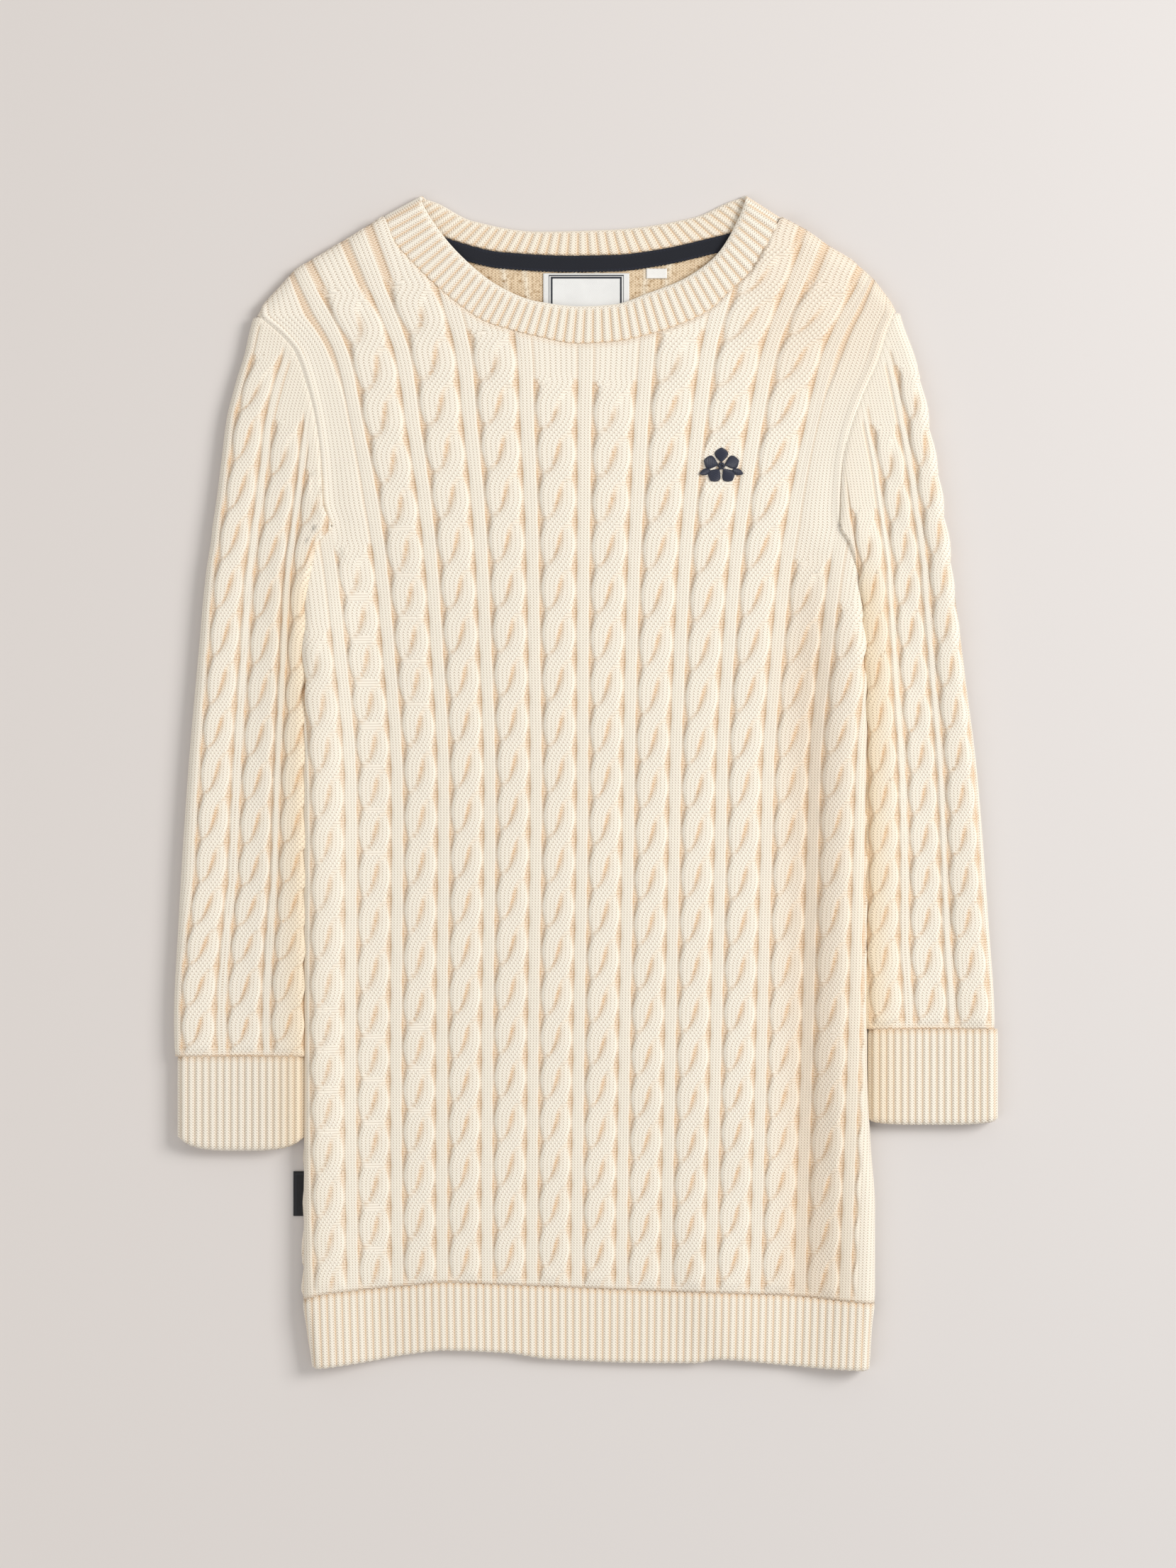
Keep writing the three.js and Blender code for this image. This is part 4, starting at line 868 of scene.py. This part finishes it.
def tube_point(tube, y, along_cloth, face, lift):
    """Points of a flattened tube: face 1 is its upper side and -1 its lower one."""
    sign = np.sign(tube["outer"] - tube["inner"])
    width = np.abs(tube["outer"] - tube["inner"])
    outer_roll, inner_roll = tube["outer_roll"], tube["inner_roll"]
    turned = outer_roll * np.pi / 2
    from_end = tube_length(tube) - along_cloth
    first = np.clip(along_cloth, 0, turned) / outer_roll
    last = np.clip(from_end, 0, inner_roll * np.pi / 2) / inner_roll
    start, end = along_cloth < turned, from_end < inner_roll * np.pi / 2
    distance = np.where(start, outer_roll * (1 - np.cos(first)),
                        np.where(end, width - inner_roll * (1 - np.cos(last)),
                                 along_cloth - turned + outer_roll))
    rise = np.where(start, np.sin(first), np.where(end, np.sin(last), 1.0))
    lean = np.where(start, np.cos(first), np.where(end, -np.cos(last), 0.0))
    real = width - tube["open"]
    sag = tube["sag"] * smooth(np.minimum(distance, real - distance), SLEEVE_ROLL, real / 2)
    middle = (tube["top"] + tube["low"]) / 2
    high = np.where(face > 0, tube["top"] - sag, tube["low"])
    x = tube["outer"] - sign * (distance - lift * lean)
    z = middle + (high - middle) * rise + face * lift * rise
    return np.stack(np.broadcast_arrays(x, y, z), -1)


def lined(tube, inset):
    """The inside of a tube."""
    sign = np.sign(tube["outer"] - tube["inner"])
    return dict(tube, outer=tube["outer"] - sign * WALL, inner=tube["inner"] + sign * inset,
                outer_roll=np.maximum(tube["outer_roll"] - WALL, 0.5),
                inner_roll=np.maximum(tube["inner_roll"] - inset, 0.4),
                top=tube["top"] - WALL, low=tube["low"] + WALL)


def sleeve_tube(side, y):
    sign = -1 if side == "left" else 1
    tuck = 0.9 + 1.6 * np.exp(-((y - ARMPIT) / 7) ** 2)  # how far the sleeve runs under the body's edge
    return {"outer": sleeve_edge(side, y), "inner": body_edge(side, y) - sign * tuck,
            "outer_roll": SLEEVE_ROLL, "inner_roll": np.maximum(SLEEVE_ROLL * below_armpit(y), 0.8),
            "top": SLEEVE_TOP - (SLEEVE_TOP - CHEST_TOP) * smooth(y, ARMPIT - 40, 310), "low": 0.0,
            "sag": SLEEVE_SAG * (1 - smooth(y, ARMPIT - 60, 280)), "open": 0.0}


def sleeve_points(side, d, y, face, lift=0.0, inner=False):
    """Points of a sleeve by their place d around it, from 0 at the outer fold to 1 at the inner one, and
    how far along the cloth each lies."""
    def tube_at(height):
        tube = sleeve_tube(side, height)
        return lined(tube, WALL * np.clip((ARMPIT - height) / 10, 0, 1)) if inner else tube

    foot = tube_length(tube_at(CUFFS[side]["top"]))
    here = tube_length(tube_at(np.minimum(y, ARMPIT)))
    share = (here - SLEEVE_STRAIGHT) / (foot - SLEEVE_STRAIGHT)
    reach = d * foot
    reach = np.where(reach <= SLEEVE_STRAIGHT, reach, SLEEVE_STRAIGHT + (reach - SLEEVE_STRAIGHT) * share)
    tube = tube_at(y)
    real = np.abs(tube["outer"] - tube["inner"])
    tube["open"] = np.where(y > ARMPIT, OPEN_WIDTH - real, 0)  # above the armpit it opens into the armhole
    tube["inner"] = np.where(y > ARMPIT, tube["outer"] - np.sign(tube["outer"]) * OPEN_WIDTH, tube["inner"])
    return tube_point(tube, y, reach, face, lift), reach


def sleeve_top(side, d):
    y = np.arange(ARMPIT, SIDES[side][-1, 0] - 1, 0.25)
    x = sleeve_points(side, d, y + 0.25, 1)[0][:, 0]
    past = np.abs(x) <= np.abs(sleeve_tube(side, y)["inner"])
    return y[np.argmax(past)] if past.any() else y[-1]


def sleeve_relief(side, reach, y):
    """Lift, shade and wale over a sleeve, by the distance along the cloth from its outer fold."""
    table = SLEEVE_CABLES[side]
    middles = np.stack([np.interp(y, table[:, 0], table[:, k]) for k in (1, 2, 3)], -1)
    middles = middles + SLEEVE_ROLL * (np.pi / 2 - 1)
    half = 0.375 * (middles[..., 2] - middles[..., 0]) / 2
    off = reach[..., None] - middles
    cable = np.abs(off).argmin(-1)[..., None]
    heights = []
    for notches in NOTCHES[side]:
        steps = [notches[0] - 140, *notches, notches[-1] + 165]
        heights.append(np.interp(y, steps, [-5, *range(len(notches)), len(notches) + 4]) - CREASE_RISE)
    off, v = (np.take_along_axis(every, cable, -1)[..., 0] for every in (off, np.stack(heights, -1)))
    last = np.array([len(notches) - 1.0 for notches in NOTCHES[side]])[cable[..., 0]]
    u = off / half * (1 if side == "left" else -1)
    return cables(u, v, half, last, 0.8, (np.abs(off) - half + 0.6) / 2.1)


def ring(upper, lower):
    """Places around a tube with the side they are on: steps over the upper side, then back below it."""
    around = np.concatenate([np.linspace(0, 1, upper + 1), np.linspace(1, 0, lower + 1)[1:-1]])
    return around[:, None], np.where(np.arange(len(around)) <= upper, 1, -1)[:, None]


for side in ("left", "right"):
    around, face = ring(100, 56)
    foot = CUFFS[side]["top"]
    tops = np.array([sleeve_top(side, d) for d in around[:, 0]])[:, None]
    y = foot + (tops - foot) * np.linspace(0, 1, 236)
    plain, reach = sleeve_points(side, around, y, face)
    lift, shade, wale = sleeve_relief(side, reach, y)
    room = np.abs(plain[..., 0] - sleeve_tube(side, y)["inner"])
    border = (1 - smooth(room, 6, 9)) * smooth(y, ARMPIT + 10, ARMPIT + 50)
    lift = lift * (1 - border) + RIB * border
    shade = shade * (1 - border)
    lift, shade = gathered(lift, shade, y - foot, 0.5)
    seam = np.exp(-(room / 1.6) ** 2) * smooth(y, ARMPIT - 4, ARMPIT + 4)
    lift = np.where(face > 0, lift - seam, (lift - CROWN) * PRESSED)
    # painted warm shade on the upper side beside the body, fading out above y 120; the inside gets an even
    # painted shade
    warm_shade = np.where(face > 0, np.exp(-(room / 16) ** 2), 0) * (0.6 if side == "left" else 0.8)
    warm_shade = warm_shade * (1 - 0.9 * smooth(y, 120, 170))
    outside, _ = sleeve_points(side, around, y, face, lift)
    y_in = (tops - np.where(around > 0.97, WALL, 0)) + (foot - tops) * np.linspace(0, 1, 26)
    y_in[:, -1:] = foot
    inside, _ = sleeve_points(side, around, y_in, face, inner=True)
    sleeve = Cloth().grid(outside, inside, (wale, around * 35), (y / COURSE, y_in / COURSE), (shade, 0.3),
                          (warm_shade, 0), closed=True).make(side + "_cable_sleeve", cable_knit, purl_side)
    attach(sleeve, "root")
    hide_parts(side + "_sleeve")


# Cuffs
# Each cuff is a tube of rib knitting linked to the end of its sleeve, about seventeen ribs to a side.
# It lies flat like the sleeve, and its corners are a little rounded.

CUFF_RIB = 4.9
CUFF_RELIEF = 1.3

for side in ("left", "right"):
    cuff = CUFFS[side]
    tube = {"outer": cuff["outer"], "inner": cuff["inner"], "outer_roll": SLEEVE_ROLL,
            "inner_roll": SLEEVE_ROLL, "top": SLEEVE_TOP, "low": 0.0, "sag": SLEEVE_SAG / 4, "open": 0.0}
    inset = lined(tube, WALL)
    whole = tube_length(tube)
    ribs = round(whole / CUFF_RIB)
    around, face = ring(ribs * 7, ribs * 5)
    lift, shade, wale = rib_relief(around * ribs - 0.5, CUFF_RELIEF)
    # the painted shade between the ribs is lighter on the left cuff than on the right
    shade = shade * (0.6 if side == "left" else 0.85)
    x = tube_point(tube, 0.0, around * whole, face, 0.0)[..., 0]
    off_middle = np.abs(x - (cuff["outer"] + cuff["inner"]) / 2) * 2 / abs(cuff["outer"] - cuff["inner"])
    low = cuff["low"] + cuff["corner"] * np.minimum(off_middle, 1) ** 4 + 0.7 * shade
    y = low + (cuff["top"] - low) * np.linspace(0, 1, 18) ** 1.2
    roll = 1 - round_edge(y - low, FREE_EDGE)
    seam = np.exp(-((cuff["top"] - y) / SEAM_LINE) ** 2)
    room = np.abs(x - cuff["inner"])
    relief = np.where(face > 0, lift * (1 - roll) - 1.1 * roll - 0.3 * seam,
                      (lift - CUFF_RELIEF) * 0.4 - 0.8 * roll)
    outside = tube_point(tube, y, around * whole, face, relief)
    inside = tube_point(inset, y, around * tube_length(inset), face, 1.1 * roll)[:, ::-1]
    # painted warm shade on the upper side beside the body; painted shade along the seam and evenly inside
    warm_shade = np.where(face > 0, np.exp(-(room / 18) ** 2), 0) * 0.6
    piece = Cloth().grid(outside, inside, wale, (y / COURSE, y[:, ::-1] / COURSE),
                         (shade * (1 - roll) + 0.4 * seam, 0.45), warm_shade,
                         closed=True).make(side + "_rib_cuff", rib_knit, rib_knit)
    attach(piece, "root")
    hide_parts(side + "_cuff")


# Neckband
# A ring of rib knitting, linked to the front, the shoulders and the back. Its front half lies on top,
# and the inside of its back half shows behind it. Its free edge is folded, so it is smooth and round.

FRONT_EDGE = np.array([  # x, y of the free edge in front, left to right
    (-115.9, 403.2), (-107.6, 388), (-88.5, 364.1), (-59.3, 340.7), (-34.4, 331), (-4.1, 327.6),
    (18.8, 329), (42.2, 336.8), (65.6, 346.1), (89, 363.2), (104, 388), (110, 403.7)])
BACK_EDGE = np.array([
    (-115.9, 403.2), (-105.1, 400), (-79.3, 387.2), (-34.4, 379.8), (18.8, 381.2), (73.4, 389.5),
    (100, 401), (110, 403.7)])
BAND_TOP = 10.0
BAND_RIB = 6.6
BAND_RELIEF = 1.1
PER_RIB = 9  # stations to each rib
# Rows from the free edge to the seam, outside and then inside
OUT = np.array([0, 0.012, 0.035, 0.07, 0.12, 0.2, 0.35, 0.5, 0.65, 0.8, 0.9, 0.95, 0.98, 1])
IN = np.array([1, 0.97, 0.9, 0.7, 0.4, 0.15, 0.05, 0])


def walk(line, count, trim):
    """Points at even steps along a smooth line."""
    far = np.concatenate([[0], np.cumsum(np.hypot(*np.diff(line, axis=0).T))])
    table = np.column_stack([far, line])
    at = np.linspace(trim, far[-1] - trim, count + 1)
    return np.stack([along(table, 1, at), along(table, 2, at)], -1)


def band_half(free, seam, stretch):
    """The free edge and the seam of one half, with the count of its ribs at each station."""
    length = np.hypot(*np.diff(free, axis=0).T).sum() * stretch
    ribs = round(length / BAND_RIB)
    free, seam = (walk(line, ribs * PER_RIB, BAND_TOP / 2) for line in (free, seam))
    outward = (seam - free) / np.linalg.norm(seam - free, axis=1)[:, None]
    at = np.linspace(0, 1, len(seam))
    # its last row covers the panel's edge
    over = 0.8 + 1.4 * np.maximum(1 - np.minimum(at, 1 - at) / 0.05, 0)
    return free, seam + outward * over[:, None], np.arange(ribs * PER_RIB + 1) / PER_RIB - 0.5


def band_section(free, seam, rib, front):
    """One half of the band: its outside from the free edge to the seam, then its inside back."""
    width = np.linalg.norm(seam - free, axis=1)[:, None]
    ridge, shade, _ = rib_relief(rib[:, None], BAND_RELIEF)
    from_free, from_seam = OUT * width, (1 - OUT) * width
    shown = smooth(from_free, 0.8, 4.0)
    edge, tuck = 1 - round_edge(from_free, FREE_EDGE), 1 - round_edge(from_seam, 1.8)
    in_free = IN * width
    in_edge, in_tuck = 1 - round_edge(in_free, FREE_EDGE), 1 - round_edge((1 - IN) * width, 1.8)
    top = BAND_TOP - BAND_RELIEF
    if front:
        out_z = top + ridge * shown - 1.5 * edge - 0.4 * tuck
        in_z = top - WALL + 1.3 * in_edge
    else:
        out_z = 0.8 * edge
        in_z = BACK_TOP + ridge * smooth(in_free, 0.4, 2.5) - 1.2 * in_edge - 0.6 * in_tuck
    out_shade = shade * shown + 0.3 * np.exp(-(from_seam / SEAM_LINE) ** 2)
    in_shade = shade * smooth(in_free, 0.4, 2.5) + 0.4 * np.exp(-((1 - IN) * width / 1.4) ** 2)
    spread = np.concatenate([OUT, IN])[None, :, None]
    plan = free[:, None] * (1 - spread) + seam[:, None] * spread
    points = np.concatenate([plan, np.concatenate([out_z, in_z], 1)[..., None]], -1)
    course = np.concatenate([from_free, in_free], 1) / COURSE
    return points, np.concatenate([out_shade, in_shade], 1), course


def band_fold(start, end, tip, climbing):
    """The band where it turns at a shoulder, from the last ring of one half to the first of the next."""
    outer = (BAND_TOP - BAND_RELIEF) / 2
    size = np.repeat([outer, outer - WALL + 0.2], [len(OUT), len(IN)])
    middle = np.repeat([outer, outer + 0.1], [len(OUT), len(IN)])
    centre = (start[:, :2].mean(0) + end[:, :2].mean(0)) / 2
    out = (tip - centre) / np.linalg.norm(tip - centre)
    rings = []
    for angle in np.linspace(0, np.pi, 11)[1:-1]:
        share = (1 - np.cos(angle)) / 2
        fall = -np.cos(angle) if climbing else np.cos(angle)
        plan = start[:, :2] * (1 - share) + end[:, :2] * share + out * (size * np.sin(angle))[:, None]
        rings.append(np.column_stack([plan, middle + size * fall]))
    return np.array(rings)


front_free, front_seam, front_rib = band_half(FRONT_EDGE, NECK_SEAM, 1.14)
back_free, back_seam, back_rib = band_half(BACK_EDGE, BACK_SEAM_LINE, 1.05)
front_part = band_section(front_free, front_seam, front_rib, True)
back_part = [v[::-1] for v in band_section(back_free, back_seam, back_rib, False)]
tips = [(FRONT_EDGE[i] + BACK_SEAM_LINE[i]) / 2 for i in (-1, 0)]
right_fold = band_fold(front_part[0][-1], back_part[0][0], tips[0], False)
left_fold = band_fold(back_part[0][-1], front_part[0][0], tips[1], True)
ring_points = np.concatenate([front_part[0], right_fold, back_part[0], left_fold])
blank = np.zeros(right_fold.shape[:2])
turning = np.linspace(0.1, 1.4, len(blank))[:, None]  # ribs that pass round the fold
fold_shade = 0.8 * rib_relief(turning, 1.0)[1] + blank
ring_shade = np.concatenate([front_part[1], fold_shade, back_part[1], fold_shade])
ring_course = np.concatenate([front_part[2], blank + front_part[2][-1],
                              back_part[2], blank + front_part[2][0]])
ring_rib = np.concatenate([front_rib, turning[:, 0], back_rib[::-1], turning[:, 0]])[:, None]
# painted warm shade on the back half of the band, which lies behind the front half
back_half_warm_shade = np.repeat([0, 0, 0.15, 0], [len(front_rib), len(blank), len(back_rib), len(blank)])[:, None]
neckband = Cloth().grid(ring_points[:, :len(OUT)], ring_points[:, len(OUT):], 2 * ring_rib + 0.5,
                        ring_course, ring_shade, back_half_warm_shade,
                        closed=True).make("rib_neckband", rib_knit, rib_knit)
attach(neckband, "root")
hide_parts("neckband")


# Neck tape
# A navy cotton herringbone tape, 11 mm wide, sewn over the seam of the back neckband from shoulder to
# shoulder. A line of small stitches runs along each edge.

TAPE_WIDTH = 11.4
STITCH = 2.4  # length of one sewn stitch with its gap


def threads(tree, slant, spacing, base):
    """Height and colour of parallel threads, so many millimetres apart. Each thread's crown is painted in
    the lighter colour and the line between threads in the darker one, a painted highlight and painted
    shade.
    """
    count = node(tree, "Math", slant, 2 * math.pi / spacing, operation="MULTIPLY")
    wave = node(tree, "Math", count, operation="SINE")
    height = node(tree, "Math", wave, 0.5, 0.5, operation="MULTIPLY_ADD")
    mix = node(tree, "Mix", height, i6=colour(base[0]), i7=colour(base[1]), data_type="RGBA")
    return height, mix.outputs[2]


def woven(name, base, lines, thread, sheen, roughness):
    """A woven ribbon of fine yarn, matt or with a slight sheen: threads in a herringbone, with a painted
    highlight on their crowns and painted shade between them, and border lines where the tone says so. Its
    UV is in millimetres."""
    material, tree = new_material(name)
    split = node(tree, "SeparateXYZ", node(tree, "UVMap", uv_map="knit"))
    zig = node(tree, "Math", split.outputs["Y"], 2.0, operation="PINGPONG")
    slant = node(tree, "Math", split.outputs["X"], zig, operation="ADD")
    height, cloth = threads(tree, slant, thread, base)
    tones = node(tree, "SeparateColor", node(tree, "VertexColor", layer_name="tones"))
    cloud = node(tree, "TexNoise", Vector=node(tree, "TexCoord").outputs["Object"], Scale=60.0, Detail=4.0)
    value = node(tree, "Math", cloud, 0.2, 0.9, operation="MULTIPLY_ADD")
    lined_cloth = node(tree, "Mix", tones.outputs[0], i6=cloth, i7=colour(lines), data_type="RGBA")
    toned = node(tree, "HueSaturation", Color=lined_cloth.outputs[2], Value=value)
    bump = node(tree, "Bump", Height=height, Strength=0.6, Distance=0.00015)
    finish_material(tree, Base_Color=toned, Roughness=roughness, Specular_IOR_Level=0.35,
                    Sheen_Weight=sheen, Normal=bump)
    return material


navy_tape = woven("cotton_herringbone_tape", ("#0d0f17", "#151925"), "#232838", 0.9, 0.25, 0.85)
x = np.linspace(-104, 104, 261)[:, None]
rows = np.array([0, 0.03, 0.08, 0.12, 0.16, 0.3, 0.5, 0.7, 0.84, 0.88, 0.92, 0.97, 1])
wave = 0.15 * np.sin(x * 2.3) + 0.12 * np.sin(x * 5.1 + 1)
upper = along(BACK_SEAM_LINE, 1, x) - 1.2 + wave
across = TAPE_WIDTH * rows + wave * (1 - 2 * rows)
edge = 1 - round_edge(np.minimum(across, TAPE_WIDTH - across), 0.5)
stitched = sum(np.exp(-((across - at) / 0.3) ** 2) for at in (1.2, TAPE_WIDTH - 1.2))
stitched = stitched * (np.sin(x * 2 * math.pi / STITCH) > -0.2)
top = BACK_TOP + SEAM + 0.9 + 0.12 * np.sin(x / 9) - 0.35 * edge - 0.2 * stitched
plan = np.broadcast_to(x, across.shape), upper - across
upper_side = np.stack([*plan, top], -1)
under_side = np.stack([*plan, np.full(across.shape, BACK_TOP + SEAM)], -1)[:, ::-1]
tape = Cloth().grid(upper_side, under_side, x, (across, across[:, ::-1]),
                    (0.8 * stitched, 0)).make("navy_neck_tape", navy_tape)
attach(tape, "root")
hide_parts("neck_tape")


# Labels and side tab
# A damask-woven neck label with a double border, a small satin label beside it, and a black woven tab
# caught in the side seam. All are polyester yarn, cut and folded.


def woven_piece(name, box, z, thick, material, frames=(), curl=0.0, step=0.45):
    """A flat woven piece with its border lines, and its UV in millimetres from its lower left corner."""
    left, right, low, top = box
    across, up = levels(left, right, step)[:, None], levels(low, top, step)
    inward = np.minimum(np.minimum(across - left, right - across), np.minimum(up - low, top - up))
    line = np.zeros(inward.shape)
    for side_in, top_in, wide in frames:
        from_frame = np.minimum(np.minimum(across - left, right - across) - side_in, top - up - top_in)
        line = np.maximum(line, (from_frame > 0) & (from_frame < wide))
    rise = curl * ((across - left) / (right - left)) ** 3 + 0.1 * np.sin(across / 5) * np.sin(up / 7)
    high = z + thick - 0.3 * (1 - round_edge(inward, 0.6)) + 0.05 * line + np.abs(rise)
    plan = np.broadcast_arrays(across, up)
    upper_side = np.stack([*plan, high], -1)
    under_side = np.stack([*plan, np.maximum(high - thick, z)], -1)[:, ::-1]
    piece = Cloth().grid(upper_side, under_side, across - left, (plan[1] - low, plan[1][:, ::-1] - low),
                         (line, 0)).make(name, material)
    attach(piece, "root")
    return piece


damask = woven("damask_label", ("#dcdcda", "#f2f2f0"), "#20242f", 0.7, 0.1, 0.5)
label = woven_piece("woven_neck_label", (-30.4, 29, 313, 350.8), BACK_TOP + SEAM, 0.6, damask,
                    ((3.8, 1.2, 0.7), (5.3, 2.5, 1.1)))
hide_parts("neck_label")

satin = woven("satin_size_label", ("#e9e6e0", "#fbfaf7"), "#d8d4cc", 0.6, 0.1, 0.4)
size_label = woven_piece("satin_size_label", (40.7, 54.9, 347.2, 354), BACK_TOP + SEAM, 0.6, satin,
                         curl=0.6)
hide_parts("size_label")

black_twill = woven("black_woven_tab", ("#101114", "#24262b"), "#2e3138", 0.8, 0.15, 0.6)
tab = woven_piece("woven_side_tab", (-202.8, -189.8, -299.3, -268.5), 0.5, 0.9, black_twill,
                  ((1.4, 1.4, 0.5),), curl=-0.3)
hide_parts("side_tab")


# Chest motif
# A flower with two leaves, embroidered in navy rayon thread over the cables, to the right of the middle.
# It is padded satin stitch: each petal is a low pad of parallel threads, with knots at the centre.

THREAD = 0.8  # mm between threads; the real 0.4 mm is too fine to show


def satin_stitch(name, base, lean):
    """Rayon thread laid side by side: smooth, with a soft gloss along each thread from the shader, and a
    painted highlight on each thread's crown with painted shade between threads.
    """
    material, tree = new_material(name)
    split = node(tree, "SeparateXYZ", node(tree, "UVMap", uv_map="knit"))
    slant = node(tree, "Math", split.outputs["Y"], lean, split.outputs["X"], operation="MULTIPLY_ADD")
    height, cloth = threads(tree, slant, THREAD, base)
    bump = node(tree, "Bump", Height=height, Strength=0.7, Distance=0.0003)
    finish_material(tree, Base_Color=cloth, Roughness=0.42, Specular_IOR_Level=0.5, Sheen_Weight=0.2,
                    Normal=bump)
    return material


navy_thread = satin_stitch("navy_rayon_thread", ("#141827", "#2b3147"), 0.35)
motif_cloth = Cloth()


def stitched_pad(angle, start, length, width, height, blunt):
    """One petal or leaf, from its start to its tip, at an angle from the motif's centre."""
    t = np.linspace(0, 1, 22)[:, None]
    q = np.linspace(-1, 1, 13)
    half = width / 2 * np.sin(np.pi * np.clip(t, 0.015, 0.985) ** blunt) ** 0.75
    far, beside = start + length * t, half * q
    turn = np.array([[math.cos(angle), math.sin(angle)], [-math.sin(angle), math.cos(angle)]])
    plan = np.stack(np.broadcast_arrays(far, beside), -1) @ turn + (MOTIF_X, MOTIF_Y)
    ground = body_top(plan[..., 0], plan[..., 1], body_edge("right", plan[..., 1])) + 1.9
    dome = np.sqrt(np.clip(1 - q ** 2, 0, 1)) * np.sin(np.pi * np.clip(t, 0.02, 0.98)) ** 0.35
    upper = np.concatenate([plan, (ground + height * dome)[..., None]], -1)
    under = np.concatenate([plan, (ground - 0.4 * dome)[..., None]], -1)[:, ::-1]
    motif_cloth.grid(upper, under, far, (beside, beside[:, ::-1]))


for k in range(5):
    stitched_pad(math.radians(90 + 72 * k), 2.2, 10.4, 9.4, 1.3, 1.35)
for angle in (-20, 200):
    stitched_pad(math.radians(angle), 8.0, 8.0, 4.6, 1.1, 0.9)
for k in range(6):
    stitched_pad(math.radians(60 * k), 0.3, 2.5, 2.2, 1.7, 1.0)
motif = motif_cloth.make("embroidered_flower", navy_thread)
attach(motif, "root")
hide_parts("chest_motif")
